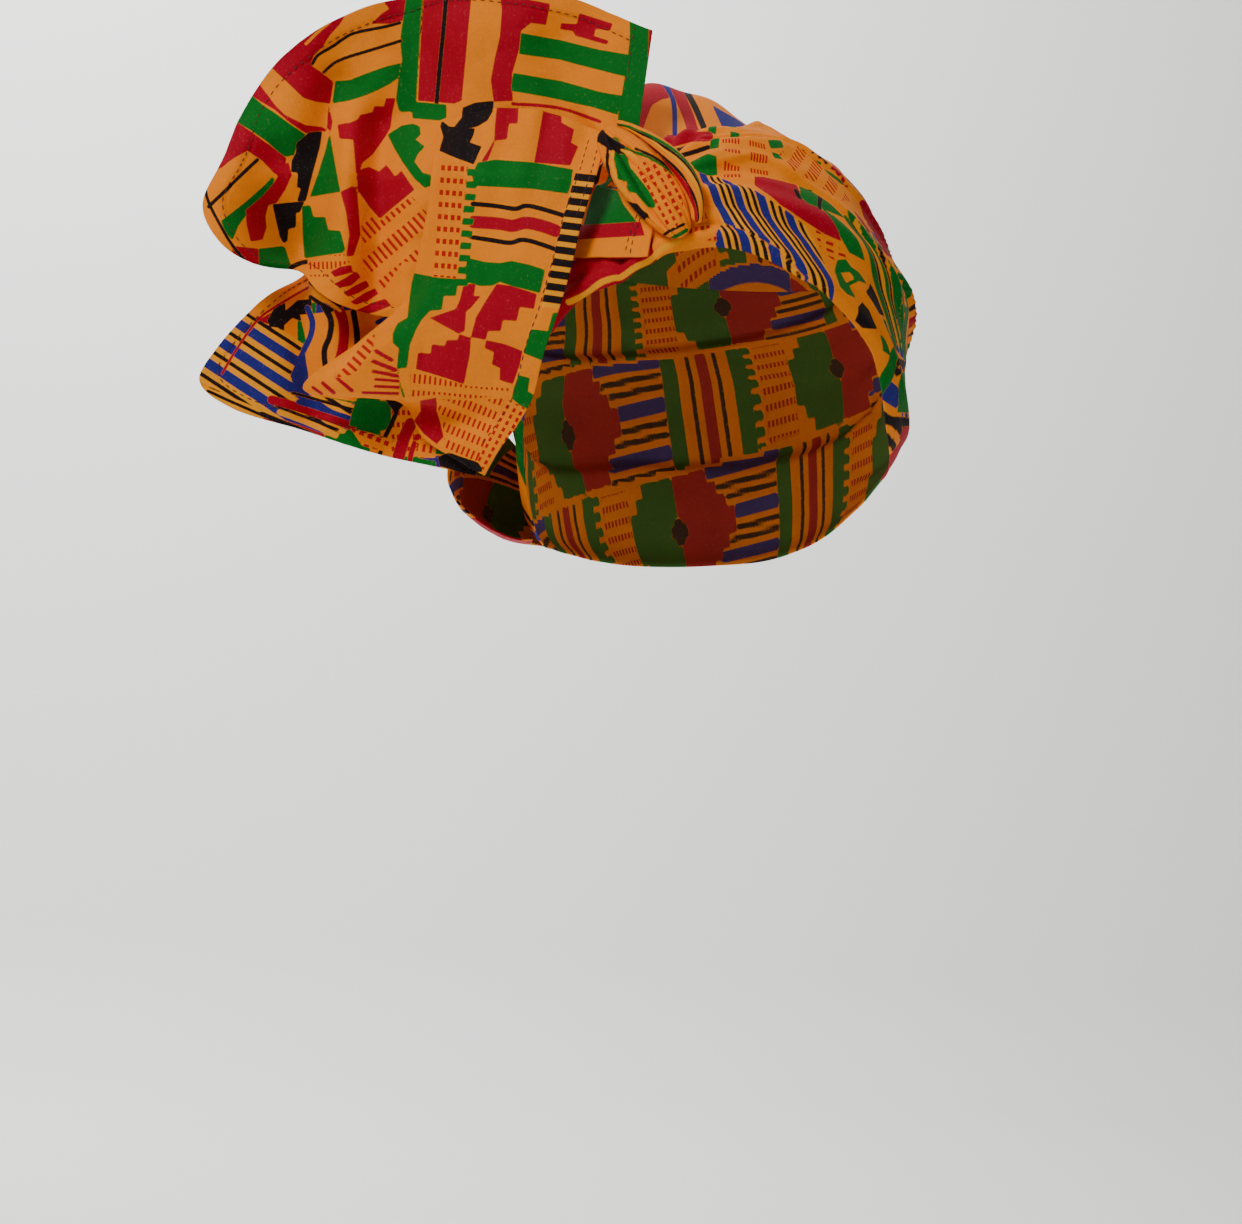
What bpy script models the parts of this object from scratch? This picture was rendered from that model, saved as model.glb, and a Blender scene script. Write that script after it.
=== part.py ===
"""A tied gele head tie: one long scarf of printed cotton, wound round the head and knotted over the brow.

The scarf is shown as the pieces that it forms once it is tied: the cloth over the crown, the
gathered band round the head, the knot with its tucked roll, the two fanned tails with the fold
that hangs below them, a tucked end under the knot and a slack fold behind the ear.
Metres, +Z up. The wearer looks along -Y, and +X is on a viewer's right. The origin is the centre
of the head at the height of the brow.
"""

import math

import bpy
import numpy as np

# The head that the cloth is tied on: half axes of a rounded form about its own centre, and how
# square its brow and back are where 2 would be a plain ellipse
HEAD_HALF_WIDTH = 0.068
HEAD_HALF_DEPTH = 0.092
HEAD_DOME = 0.081
HEAD_DROP = 0.130
HEAD_CENTRE_UP = 0.015
HEAD_SQUARENESS = 2.5

# The cloth, and the air between one layer and the next
CLOTH_WALL = 0.0012
LAYER_GAP = 0.0007
LAYER = CLOTH_WALL + LAYER_GAP

# How far the slack cloth stands off the head
CROWN_PEAK_HEIGHT = 0.022
CROWN_PEAK_RIGHT = -0.026
CROWN_PEAK_BACK = -0.004
CROWN_PEAK_SPREAD = 0.028
CROWN_COVER_POLAR = 64
CROWN_FOLD_HEIGHT = 0.0026
BAND_FOLD_HEIGHT = 0.0042
BAND_FOLD_START = 6
BAND_FOLD_RISE = 26
BAND_FLATTEN_FROM = 60
BAND_FLATTEN_OVER = 100
BAND_BACK_SHARE = 0.45

# The slack fold at the nape: how far it stands out, and where it lies, as directions over the head
NAPE_FOLD_HEIGHT = 0.024
NAPE_FOLD_FROM = -85
NAPE_FOLD_TO = -138
NAPE_FOLD_TOP = 96
NAPE_FOLD_BOTTOM = 122.5
NAPE_FOLD_TAPER_SHARE = 0.7

# The knot over the brow: its place on the head, its size and how it lies
KNOT_AZIMUTH = -30.7
KNOT_POLAR = 51.0
KNOT_LENGTH = 0.049
KNOT_WIDTH = 0.0175
KNOT_FRONT_HEIGHT = 0.0095
KNOT_BACK_HEIGHT = 0.0025
KNOT_CLEARANCE = 0.0020
KNOT_SLANT = 52.0
KNOT_LEAN = 0.53
KNOT_SAG = 0.0005
KNOT_PLEATS = 5
KNOT_PLEAT_SHARE = 0.07
KNOT_TUCK_THICKNESS = 0.0062
KNOT_TUCK_FROM = 18
KNOT_TUCK_TO = 150
KNOT_TUCK_SEAT_SHARE = 0.2
KNOT_GATHER = 0.0009
KNOT_GATHER_SPREAD = 30

# The tails: how far they reach from the knot, and how far they lean back and billow
UPPER_REACH = 0.158
UPPER_RISE = 0.069
FRONT_REACH = 0.113
FRONT_DROP = 0.105
LOWER_REACH = 0.158
LOWER_DROP = 0.105
TAIL_BILLOW = 0.016
TAIL_LEAN_LEFT_RATIO = 0.33
TAIL_LEAN_UP_RATIO = 0.42
LEAN_FADE_LEFT = 0.090
LEAN_FADE_UP = 0.050
FRONT_TOP_ARCH_SHARE = 0.07
FRONT_ROLL_FROM = 0.82
UPPER_CURL_FROM = 0.80
LOWER_SET_BACK = 0.0075

# How finely each piece of cloth is divided
CROWN_STEPS_ROUND = 36
CROWN_STEPS_DOWN = 10
BAND_STEPS_ROUND = 56
BAND_STEPS_ACROSS = 12
NAPE_STEPS_ROUND = 12
NAPE_STEPS_DOWN = 6
KNOT_STEPS_ROUND = 18
KNOT_STEPS_ALONG = 12
TUCK_STEPS_ROUND = 10
TUCK_STEPS_ALONG = 14
UPPER_STEPS_ROUND = 38
UPPER_STEPS_OUT = 17
FRONT_STEPS_DOWN = 24
FRONT_STEPS_ACROSS = 13
LOWER_STEPS_ROUND = 16
LOWER_STEPS_OUT = 9
TUCKED_STEPS_ACROSS = 10
TUCKED_STEPS_DOWN = 5

# Height of the lower edge and of the upper edge of the band, as the angle down from the crown,
# for each direction round the head: 0 is the front and 90 a viewer's right
BAND_ROWS = (
    # azimuth, lower_polar, upper_polar
    (-31, 77.5, 33),
    (-19, 71.0, 28),
    (-7, 68.5, 25),
    (6, 69.0, 22),
    (20, 73.5, 17),
    (37, 81.5, 13),
    (53, 91.5, 13),
    (66, 101, 14),
    (80, 106, 16),
    (95, 109, 18),
    (110, 113, 20),
    (125, 118, 22),
    (150, 123, 27),
    (175, 125, 32),
    (205, 126, 38),
    (245, 124, 44),
    (263, 122.5, 47),
    (273, 118, 48),
    (283, 106, 47),
    (300, 93, 43),
    (315, 82, 37),
)

# Folds that run along the band: where they lie across it, how high they stand and how wide
BAND_FOLDS = (
    # across, height, width
    (0.06, 0.75, 0.075),
    (0.33, 0.80, 0.100),
    (0.72, 0.75, 0.120),
    (0.95, 0.50, 0.060),
)

# Rim of the upper tail, from the hem beside the knot, over the top and round to its lower edge
UPPER_RIM_ROWS = (
    # left, up, curl, root_left, root_up
    (0.00, 0.82, 0.00, 0.020, 0.25),
    (0.17, 0.97, 0.00, 0.050, 0.24),
    (0.33, 1.01, 0.00, 0.070, 0.22),
    (0.48, 1.01, 0.00, 0.080, 0.20),
    (0.61, 0.96, 0.05, 0.090, 0.18),
    (0.735, 0.80, 0.00, 0.100, 0.16),
    (0.85, 0.575, -0.35, 0.115, 0.14),
    (0.925, 0.285, -0.50, 0.125, 0.12),
    (0.955, 0.01, -0.20, 0.130, 0.08),
    (0.985, -0.21, 0.35, 0.135, 0.04),
    (0.95, -0.38, 0.75, 0.140, 0.00),
    (0.88, -0.485, 0.70, 0.140, -0.04),
    (0.775, -0.50, 0.20, 0.145, -0.08),
    (0.72, -0.61, 0.10, 0.150, -0.12),
    (0.66, -0.68, 0.15, 0.150, -0.16),
    (0.53, -0.725, 0.00, 0.160, -0.20),
)

# Ridges and valleys of the upper tail, each along a line from one place to another
UPPER_FOLDS = (
    # from_left, from_up, to_left, to_up, height, width
    (0.80, 0.72, 0.92, 0.00, 0.70, 0.110),
    (0.30, 0.95, 0.38, 0.86, 0.50, 0.130),
    (0.71, 0.50, 0.765, -0.42, -0.45, 0.050),
    (0.67, 0.30, 0.65, -0.48, 0.35, 0.045),
    (0.61, 0.30, 0.595, -0.75, -0.60, 0.060),
    (0.84, 0.02, 0.81, -0.40, -0.80, 0.075),
    (0.565, 0.98, 0.51, 0.40, -0.40, 0.065),
    (0.22, 0.75, 0.16, 0.35, -0.25, 0.060),
)

# Valleys of the lower fold, measured in the same way
LOWER_FOLDS = (
    # from_left, from_up, to_left, to_up, height, width
    (0.78, -0.36, 0.72, -0.80, -0.45, 0.045),
    (0.60, -0.55, 0.55, -0.92, -0.30, 0.050),
)

# Folds of the crown's cloth that run back from the knot, as lines on the head seen from above
CROWN_FOLDS = (
    # from_right, from_back, to_right, to_back, height, width
    (-0.20, -0.62, 0.10, 0.55, 0.70, 0.090),
    (-0.30, -0.50, -0.30, 0.60, 1.00, 0.100),
    (-0.55, -0.30, -0.70, 0.35, 0.80, 0.090),
)

# Front tail from the knot down to its corner: the hemmed edge, and the rolled edge beyond it
FRONT_ROWS = (
    # hem_left, hem_up, roll_left, roll_up, hem_forward, ridge_forward, edge_forward
    (0.125, 0.17, 0.65, 0.20, 0.00, 0.15, 0.02),
    (0.145, 0.02, 0.665, 0.10, 0.30, 0.50, 0.02),
    (0.18, -0.14, 0.67, -0.07, 0.60, 0.60, 0.02),
    (0.205, -0.295, 0.69, -0.24, 0.70, 0.60, 0.02),
    (0.235, -0.435, 0.73, -0.42, 0.65, 0.60, 0.00),
    (0.275, -0.585, 0.86, -0.565, 0.50, 0.65, 0.10),
    (0.30, -0.72, 1.03, -0.74, 0.25, 0.35, 0.15),
    (0.345, -0.82, 0.74, -0.755, 0.05, -0.40, -0.45),
    (0.40, -0.91, 0.645, -0.88, -0.05, -0.40, -0.45),
    (0.44, -0.995, 0.50, -0.965, -0.15, -0.25, -0.30),
)

# Lower fold: its rim from the stitched hem on the far side to the corner under the front tail
LOWER_RIM_ROWS = (
    # left, up, root_left, root_up
    (0.76, -0.31, 0.135, 0.00),
    (0.86, -0.44, 0.145, -0.04),
    (0.955, -0.615, 0.160, -0.08),
    (0.985, -0.73, 0.180, -0.12),
    (0.90, -0.815, 0.200, -0.16),
    (0.75, -0.87, 0.220, -0.20),
    (0.58, -0.935, 0.235, -0.24),
    (0.42, -0.975, 0.250, -0.28),
    (0.34, -0.995, 0.260, -0.32),
)

# Tucked end under the knot, as directions over the head, from its inner to its outer edge
TUCKED_ROWS = (
    # azimuth, top_polar, bottom_polar
    (-21.5, 63, 72.0),
    (-30, 58, 72.5),
    (-38, 54, 72.0),
    (-47, 52, 72.5),
    (-55, 52, 74.5),
)


def through(rows, count):
    """Evenly spaced points on a smooth curve that passes through every row, as a numpy array."""
    rows = np.asarray(rows, float)
    padded = np.vstack([2 * rows[0] - rows[1], rows, 2 * rows[-1] - rows[-2]])
    place = np.linspace(0, len(rows) - 1, count)
    step = np.minimum(place.astype(int), len(rows) - 2)
    t = (place - step)[:, None]
    a, b, c, d = (padded[step + k] for k in range(4))
    return b + 0.5 * t * (c - a + t * (2 * a - 5 * b + 4 * c - d + t * (3 * (b - c) + d - a)))


def ease(value):
    """0 below 0, 1 above 1, and a smooth rise between them."""
    value = np.clip(value, 0, 1)
    return value * value * (3 - 2 * value)


def hump(distance, width):
    """1 on a fold's line, falling smoothly to 0 on both sides of it."""
    return np.exp(-((distance / width) ** 2))


def fold_relief(first, second, folds, stretch=(1, 1)):
    """Sum of the ridges and valleys of a table at a place: each a hump along its own line."""
    total = 0
    for *line, height, width in folds:
        start = np.array(line[:2]) * stretch
        run = np.array(line[2:]) * stretch - start
        share = ((first - start[0]) * run[0] + (second - start[1]) * run[1]) / (run @ run)
        share = np.clip(share, 0, 1)
        away = np.hypot(first - start[0] - share * run[0], second - start[1] - share * run[1])
        total = total + height * hump(away, width * stretch[0])
    return total


def on_head(azimuth, polar, lift):
    """Points over the head for directions in degrees, lifted off it along its own slope.

    Across, ahead and above are sin a sin p, cos a sin p and cos p of the azimuth a and polar p.
    """
    azimuth, polar = np.radians(azimuth), np.radians(polar)
    across = np.sin(azimuth) * np.sin(polar)
    ahead = np.cos(azimuth) * np.sin(polar)
    above = np.cos(polar)
    upright = np.where(above > 0, HEAD_DOME, HEAD_DROP)
    reach = np.sign(ahead) * np.abs(ahead) ** (2 / HEAD_SQUARENESS)
    steep = np.sign(ahead) * np.abs(ahead) ** (2 - 2 / HEAD_SQUARENESS)
    points = np.stack([
        across * HEAD_HALF_WIDTH,
        -reach * HEAD_HALF_DEPTH,
        above * upright + HEAD_CENTRE_UP,
    ], axis=-1)
    slope = np.stack([
        2 * across / HEAD_HALF_WIDTH,
        -HEAD_SQUARENESS * steep / HEAD_HALF_DEPTH,
        2 * above / upright,
    ], axis=-1)
    slope = slope / np.linalg.norm(slope, axis=-1, keepdims=True)
    return points + slope * np.asarray(lift)[..., None]


def crown_lift(azimuth, polar):
    """The crown cloth lies on the head, and the tie pulls it up into a peak on the knot's side."""
    bare = on_head(azimuth, polar, 0)
    away = np.hypot(bare[..., 0] - CROWN_PEAK_RIGHT, bare[..., 1] - CROWN_PEAK_BACK)
    on_top = ease(bare[..., 2] / HEAD_DOME)
    peak = hump(away, CROWN_PEAK_SPREAD)
    right = bare[..., 0] / HEAD_HALF_WIDTH
    back = bare[..., 1] / HEAD_HALF_DEPTH
    folds = fold_relief(right, back, CROWN_FOLDS)
    lift = LAYER_GAP + CLOTH_WALL / 2
    return lift + on_top * (CROWN_PEAK_HEIGHT * peak + CROWN_FOLD_HEIGHT * folds)


def closed_wall(name, points, faces, colour):
    """An object whose mesh is the middle of the cloth, given its wall by a Solidify modifier."""
    obj = solid(name, points, faces, colour)
    wall = obj.modifiers.new("cloth_wall", "SOLIDIFY")
    wall.thickness = CLOTH_WALL
    wall.offset = 0
    wall.use_even_offset = False
    return obj


def solid(name, points, faces, colour):
    """A named object with its own cloth material, shaded smooth."""
    mesh = bpy.data.meshes.new(name)
    mesh.from_pydata([tuple(map(float, p)) for p in points], [], faces)
    mesh.shade_smooth()
    mesh.set_sharp_from_angle(angle=math.radians(50))
    obj = bpy.data.objects.new(name, mesh)
    bpy.context.scene.collection.objects.link(obj)
    material = bpy.data.materials.new(name + "_cotton")
    material.use_nodes = True
    shader = material.node_tree.nodes["Principled BSDF"]
    shader.inputs["Base Color"].default_value = (*colour, 1)
    shader.inputs["Roughness"].default_value = 0.85
    shader.inputs["Metallic"].default_value = 0
    mesh.materials.append(material)
    return obj


def grid_faces(rows, columns, closed_columns=False):
    """Quads of a grid of points stored row by row."""
    faces = []
    last = columns if closed_columns else columns - 1
    for i in range(rows - 1):
        for j in range(last):
            k = (j + 1) % columns
            faces.append((i * columns + j, i * columns + k, (i + 1) * columns + k, (i + 1) * columns + j))
    return faces


def knot_place():
    """Where the knot lies on the band: the middle of its underside."""
    return on_head(KNOT_AZIMUTH, KNOT_POLAR, 2 * LAYER + LAYER_GAP)


def from_knot(left, up, forward):
    """Points measured from the knot: to a viewer's left, upwards and towards the viewer."""
    x, y, z = knot_place()
    return np.stack(np.broadcast_arrays(x - left, y - forward, z + up), axis=-1)


def make_crown_cover():
    """The cloth drawn over the top of the head, under the upper edge of the band."""
    azimuth = np.arange(CROWN_STEPS_ROUND) * 360 / CROWN_STEPS_ROUND
    polar = np.linspace(0, CROWN_COVER_POLAR, CROWN_STEPS_DOWN + 1)[1:]
    polar, azimuth = np.meshgrid(polar, azimuth, indexing="ij")
    rings = on_head(azimuth, polar, crown_lift(azimuth, polar)).reshape(-1, 3)
    top = on_head(0, 0, crown_lift(0, 0)).reshape(1, 3)
    points = np.vstack([rings, top])
    faces = grid_faces(CROWN_STEPS_DOWN, CROWN_STEPS_ROUND, closed_columns=True)
    pole = len(points) - 1
    faces += [(pole, (j + 1) % CROWN_STEPS_ROUND, j) for j in range(CROWN_STEPS_ROUND)]
    return closed_wall("crown_cover", points, faces, (0.72, 0.22, 0.03))


def band_edges(azimuth):
    """Polar angles of the band's lower and upper edge in a direction round the head."""
    rows = np.array(BAND_ROWS, float)
    around = rows + (360, 0, 0)
    before = rows - (360, 0, 0)
    table = np.vstack([before[-2:], rows, around[:3]])
    turned = (np.asarray(azimuth, float) - rows[0, 0]) % 360 + rows[0, 0]
    return (smooth_lookup(turned, table[:, 0], table[:, k]) for k in (1, 2))


def band_lift(azimuth, polar):
    """How far the band stands off the head: over the crown's cloth, with its own folds."""
    lower, upper = band_edges(azimuth)
    across = (polar - lower) / (upper - lower)
    turned = (np.asarray(azimuth) - KNOT_AZIMUTH) % 360
    from_tie = np.minimum(turned, 360 - turned)
    strength = ease((from_tie - BAND_FOLD_START) / BAND_FOLD_RISE)
    strength = strength * (1 - (1 - BAND_BACK_SHARE) * ease((from_tie - BAND_FLATTEN_FROM) / BAND_FLATTEN_OVER))
    relief = sum(height * hump(across - at, width) for at, height, width in BAND_FOLDS)
    gather = KNOT_GATHER * hump(from_tie, KNOT_GATHER_SPREAD)
    return crown_lift(azimuth, polar) + LAYER + gather + BAND_FOLD_HEIGHT * strength * relief


def smooth_lookup(places, table_places, table_values):
    """Values between the rows of a table, on a curve with no corners."""
    slopes = np.gradient(table_values, table_places)
    k = np.clip(np.searchsorted(table_places, places, side="right") - 1, 0, len(table_places) - 2)
    span = table_places[k + 1] - table_places[k]
    t = (places - table_places[k]) / span
    return (
        table_values[k] * (1 + 2 * t) * (1 - t) ** 2
        + table_values[k + 1] * t * t * (3 - 2 * t)
        + span * (slopes[k] * t * (1 - t) ** 2 - slopes[k + 1] * t * t * (1 - t))
    )


def make_head_band():
    """The gathered cloth that runs from the knot round the nape and back, edge above the brow."""
    azimuth = BAND_ROWS[0][0] + np.arange(BAND_STEPS_ROUND) * 360 / BAND_STEPS_ROUND
    across = np.linspace(0, 1, BAND_STEPS_ACROSS)
    across, azimuth = np.meshgrid(across, azimuth, indexing="ij")
    lower, upper = band_edges(azimuth)
    polar = lower + (upper - lower) * across
    points = on_head(azimuth, polar, band_lift(azimuth, polar)).reshape(-1, 3)
    faces = grid_faces(BAND_STEPS_ACROSS, BAND_STEPS_ROUND, closed_columns=True)
    return closed_wall("head_band", points, faces, (0.80, 0.30, 0.02))


def make_nape_fold():
    """Slack cloth behind the ear on the knot's side, standing away from the band."""
    along = np.linspace(0, 1, NAPE_STEPS_ROUND + 1)
    down = np.linspace(0, 1, NAPE_STEPS_DOWN + 1)
    down, along = np.meshgrid(down, along, indexing="ij")
    azimuth = NAPE_FOLD_FROM + (NAPE_FOLD_TO - NAPE_FOLD_FROM) * along
    top = NAPE_FOLD_TOP + (NAPE_FOLD_BOTTOM - NAPE_FOLD_TOP) * NAPE_FOLD_TAPER_SHARE * ease(along)
    polar = top + (NAPE_FOLD_BOTTOM - top) * down
    swell = (1 - ease(along)) * np.sin(np.pi * (0.06 + 0.94 * down)) ** 0.6
    lift = band_lift(azimuth, polar) + LAYER + NAPE_FOLD_HEIGHT * swell
    points = on_head(azimuth, polar, lift).reshape(-1, 3)
    faces = grid_faces(NAPE_STEPS_DOWN + 1, NAPE_STEPS_ROUND + 1)
    return closed_wall("nape_fold", points, faces, (0.75, 0.30, 0.03))


def along_knot(length, side, height):
    """Points of the knot: along its length to the upper left, across it, and out from its axis."""
    slant = math.radians(KNOT_SLANT)
    left = length * math.cos(slant) - side * math.sin(slant)
    up = length * math.sin(slant) + side * math.cos(slant)
    axis = KNOT_BACK_HEIGHT + 3 * LAYER + KNOT_CLEARANCE
    axis = axis - KNOT_LEAN * length - KNOT_SAG * (length / (KNOT_LENGTH / 2)) ** 2
    return from_knot(left, up, axis + height)


def make_knot():
    """The wound knot: a slanted almond of rolled cloth, with pleats from end to end."""
    along = np.cos(np.linspace(0, np.pi, KNOT_STEPS_ALONG + 1))[1:-1]
    turn = np.arange(KNOT_STEPS_ROUND) * 2 * np.pi / KNOT_STEPS_ROUND
    along, turn = np.meshgrid(along, turn, indexing="ij")
    girth = np.sqrt(1 - along**2) ** 0.85
    pleated = girth * (1 + KNOT_PLEAT_SHARE * np.cos(KNOT_PLEATS * turn) * (1 - along**2))
    front = np.where(np.sin(turn) > 0, KNOT_FRONT_HEIGHT * pleated, KNOT_BACK_HEIGHT * girth)
    length = KNOT_LENGTH / 2 * along
    rings = along_knot(length, KNOT_WIDTH / 2 * pleated * np.cos(turn), front * np.sin(turn))
    tips = [along_knot(KNOT_LENGTH / 2 * s, 0, 0) for s in (1, -1)]
    points = np.vstack([rings.reshape(-1, 3), tips])
    rows, columns = KNOT_STEPS_ALONG - 1, KNOT_STEPS_ROUND
    faces = grid_faces(rows, columns, closed_columns=True)
    first, last = len(points) - 2, len(points) - 1
    start = (rows - 1) * columns
    for j in range(columns):
        k = (j + 1) % columns
        faces.append((first, k, j))
        faces.append((last, start + j, start + k))
    return solid("knot", points, faces, (0.85, 0.33, 0.02))


def make_knot_tuck():
    """The rolled edge of cloth that passes over the knot's upper side and is tucked in."""
    bend = np.radians(np.linspace(KNOT_TUCK_FROM, KNOT_TUCK_TO, TUCK_STEPS_ALONG + 1))[:, None]
    ring = (np.arange(TUCK_STEPS_ROUND) * 2 * np.pi / TUCK_STEPS_ROUND)[None, :]
    share = np.linspace(0, 1, TUCK_STEPS_ALONG + 1)[:, None]
    radius = KNOT_TUCK_THICKNESS / 2 * (0.4 + 0.6 * np.sin(np.pi * share) ** 0.6)
    clear = radius + LAYER_GAP
    out = radius * np.cos(ring)
    length = (KNOT_LENGTH / 2 + clear + out) * np.cos(bend)
    side = (KNOT_WIDTH / 2 * (1 + KNOT_PLEAT_SHARE) + clear + out) * np.sin(bend)
    height = KNOT_FRONT_HEIGHT * KNOT_TUCK_SEAT_SHARE + radius * np.sin(ring)
    points = along_knot(length, side, height).reshape(-1, 3)
    rows, columns = TUCK_STEPS_ALONG + 1, TUCK_STEPS_ROUND
    faces = grid_faces(rows, columns, closed_columns=True)
    faces.append(tuple(reversed(range(columns))))
    faces.append(tuple((rows - 1) * columns + j for j in range(columns)))
    return solid("knot_tuck", points, faces, (0.80, 0.35, 0.03))


def lean(left, up):
    """How far the tails lie behind the knot at a place: they lean back, less and less."""
    left, up = np.maximum(left, 0), np.maximum(up, 0)
    back = TAIL_LEAN_LEFT_RATIO * LEAN_FADE_LEFT * (1 - np.exp(-left / LEAN_FADE_LEFT))
    back = back + TAIL_LEAN_UP_RATIO * LEAN_FADE_UP * (1 - np.exp(-up / LEAN_FADE_UP))
    return CLOTH_WALL - back


def make_upper_tail():
    """The fanned end that stands up beside the knot and turns down on the far side."""
    rows = through(UPPER_RIM_ROWS, UPPER_STEPS_ROUND + 1)
    rim_left, rim_up, curl, root_left, root_up = (rows[:, k][None, :] for k in range(5))
    out = np.linspace(0, 1, UPPER_STEPS_OUT + 1)[:, None] ** 0.8
    left = (root_left + (rim_left - root_left) * out) * UPPER_REACH
    up = (root_up + (rim_up - root_up) * out) * UPPER_RISE
    relief = fold_relief(left, up, UPPER_FOLDS, (UPPER_REACH, UPPER_RISE))
    forward = lean(left, up) + TAIL_BILLOW * relief
    forward = forward + curl * TAIL_BILLOW * ease((out - UPPER_CURL_FROM) / (1 - UPPER_CURL_FROM))
    forward = forward + LAYER
    points = from_knot(left, up, forward).reshape(-1, 3)
    faces = grid_faces(UPPER_STEPS_OUT + 1, UPPER_STEPS_ROUND + 1)
    return closed_wall("upper_tail", points, faces, (0.80, 0.26, 0.02))


def make_front_tail():
    """The other end, hanging from the knot past the temple, with its far edge rolled back."""
    rows = through(FRONT_ROWS, FRONT_STEPS_DOWN + 1)
    hem_left, hem_up, roll_left, roll_up = (rows[:, k][:, None] for k in range(4))
    hem_forward, ridge_forward, edge_forward = (rows[:, k][:, None] for k in range(4, 7))
    across = np.linspace(0, 1, FRONT_STEPS_ACROSS + 1)[None, :]
    left = (hem_left + (roll_left - hem_left) * across) * FRONT_REACH
    up = (hem_up + (roll_up - hem_up) * across) * FRONT_DROP
    down = np.linspace(0, 1, FRONT_STEPS_DOWN + 1)[:, None]
    up = up + FRONT_TOP_ARCH_SHARE * FRONT_DROP * np.sin(np.pi * across) * (1 - ease(down / 0.15))
    billow = hem_forward + (ridge_forward - hem_forward) * ease(across / FRONT_ROLL_FROM)
    rolled = ease((across - FRONT_ROLL_FROM) / (1 - FRONT_ROLL_FROM))
    billow = billow + (edge_forward - ridge_forward) * rolled
    forward = lean(left, up) + 2 * LAYER + TAIL_BILLOW * billow
    points = from_knot(left, up, forward).reshape(-1, 3)
    faces = grid_faces(FRONT_STEPS_DOWN + 1, FRONT_STEPS_ACROSS + 1)
    return closed_wall("front_tail", points, faces, (0.85, 0.30, 0.02))


def make_lower_fold():
    """The cloth that hangs behind the two tails and shows below them, down to its stitched hem."""
    rows = through(LOWER_RIM_ROWS, LOWER_STEPS_ROUND + 1)
    rim_left, rim_up, root_left, root_up = (rows[:, k][None, :] for k in range(4))
    out = np.linspace(0, 1, LOWER_STEPS_OUT + 1)[:, None]
    left = (root_left + (rim_left - root_left) * out) * LOWER_REACH
    up = (root_up + (rim_up - root_up) * out) * LOWER_DROP
    valleys = [row for row in UPPER_FOLDS if row[4] < 0]
    relief = fold_relief(left, up, valleys, (UPPER_REACH, UPPER_RISE))
    relief = relief + fold_relief(left, up, LOWER_FOLDS, (LOWER_REACH, LOWER_DROP))
    forward = lean(left, up) + TAIL_BILLOW * relief
    forward = forward - LOWER_SET_BACK * ease(out / 0.5)
    points = from_knot(left, up, forward).reshape(-1, 3)
    faces = grid_faces(LOWER_STEPS_OUT + 1, LOWER_STEPS_ROUND + 1)
    return closed_wall("lower_fold", points, faces, (0.60, 0.22, 0.04))


def make_tucked_end():
    """A short flat end that comes out under the knot and lies on the band."""
    rows = through(TUCKED_ROWS, TUCKED_STEPS_ACROSS + 1)
    azimuth, top, bottom = (rows[:, k][None, :] for k in range(3))
    down = np.linspace(0, 1, TUCKED_STEPS_DOWN + 1)[:, None]
    polar = top + (bottom - top) * down
    azimuth = azimuth + 0 * down
    lift = band_lift(azimuth, polar) + LAYER
    points = on_head(azimuth, polar, lift).reshape(-1, 3)
    faces = grid_faces(TUCKED_STEPS_DOWN + 1, TUCKED_STEPS_ACROSS + 1)
    return closed_wall("tucked_end", points, faces, (0.30, 0.35, 0.05))


def main():
    for obj in list(bpy.data.objects):
        bpy.data.objects.remove(obj)
    make_crown_cover()
    make_head_band()
    make_nape_fold()
    make_knot()
    make_knot_tuck()
    make_upper_tail()
    make_front_tail()
    make_lower_fold()
    make_tucked_end()


main()
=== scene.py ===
"""The looks of a tied gele head tie: one scarf of kente-print cotton, wound, knotted and fanned out.

Metres, +Z up. The wearer looks along -Y, and +X is on a viewer's right.
"""

import math

import bmesh
import bpy
import numpy as np
from mathutils import Matrix, Vector


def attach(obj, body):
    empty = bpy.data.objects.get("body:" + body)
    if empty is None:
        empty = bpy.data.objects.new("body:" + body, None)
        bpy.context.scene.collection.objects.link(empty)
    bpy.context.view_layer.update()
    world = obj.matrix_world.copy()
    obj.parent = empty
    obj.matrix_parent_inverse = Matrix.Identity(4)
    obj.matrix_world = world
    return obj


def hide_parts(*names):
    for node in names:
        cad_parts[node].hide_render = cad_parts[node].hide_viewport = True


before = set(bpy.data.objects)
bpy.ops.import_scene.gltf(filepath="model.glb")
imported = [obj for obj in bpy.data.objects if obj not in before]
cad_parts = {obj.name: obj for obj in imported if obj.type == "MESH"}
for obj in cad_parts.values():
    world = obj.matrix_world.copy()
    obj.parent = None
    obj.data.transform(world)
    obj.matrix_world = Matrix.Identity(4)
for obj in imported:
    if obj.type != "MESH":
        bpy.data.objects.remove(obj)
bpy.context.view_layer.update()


# The camera stands level in front of the brow, a little below it, and is rolled by a few degrees.
# The backdrop is one pale board that curves up from the floor. The light is soft and comes from
# the upper left, with a weaker one on the right, one from above and one on the board itself.
CAMERA_RIGHT, CAMERA_AHEAD, CAMERA_UP = -0.0277, -1.10, -0.0813
CAMERA_ROLL = 3.5
CAMERA_LENS, SENSOR_WIDTH = 85.0, 36.0
PHOTO_ACROSS, PHOTO_DOWN = 1242, 1224
FLOOR_UP = -0.50
WALL_BACK = 1.60
COVE_RADIUS, COVE_STEPS = 0.10, 12
BOARD_HALF_WIDTH, BOARD_FRONT, BOARD_TOP = 2.6, -2.4, 2.4
BOARD_COLOUR, BOARD_ROUGHNESS = (0.88, 0.875, 0.86, 1), 0.9
ROOM_COLOUR, ROOM_STRENGTH = (0.95, 0.97, 1.0, 1), 0.22
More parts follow.
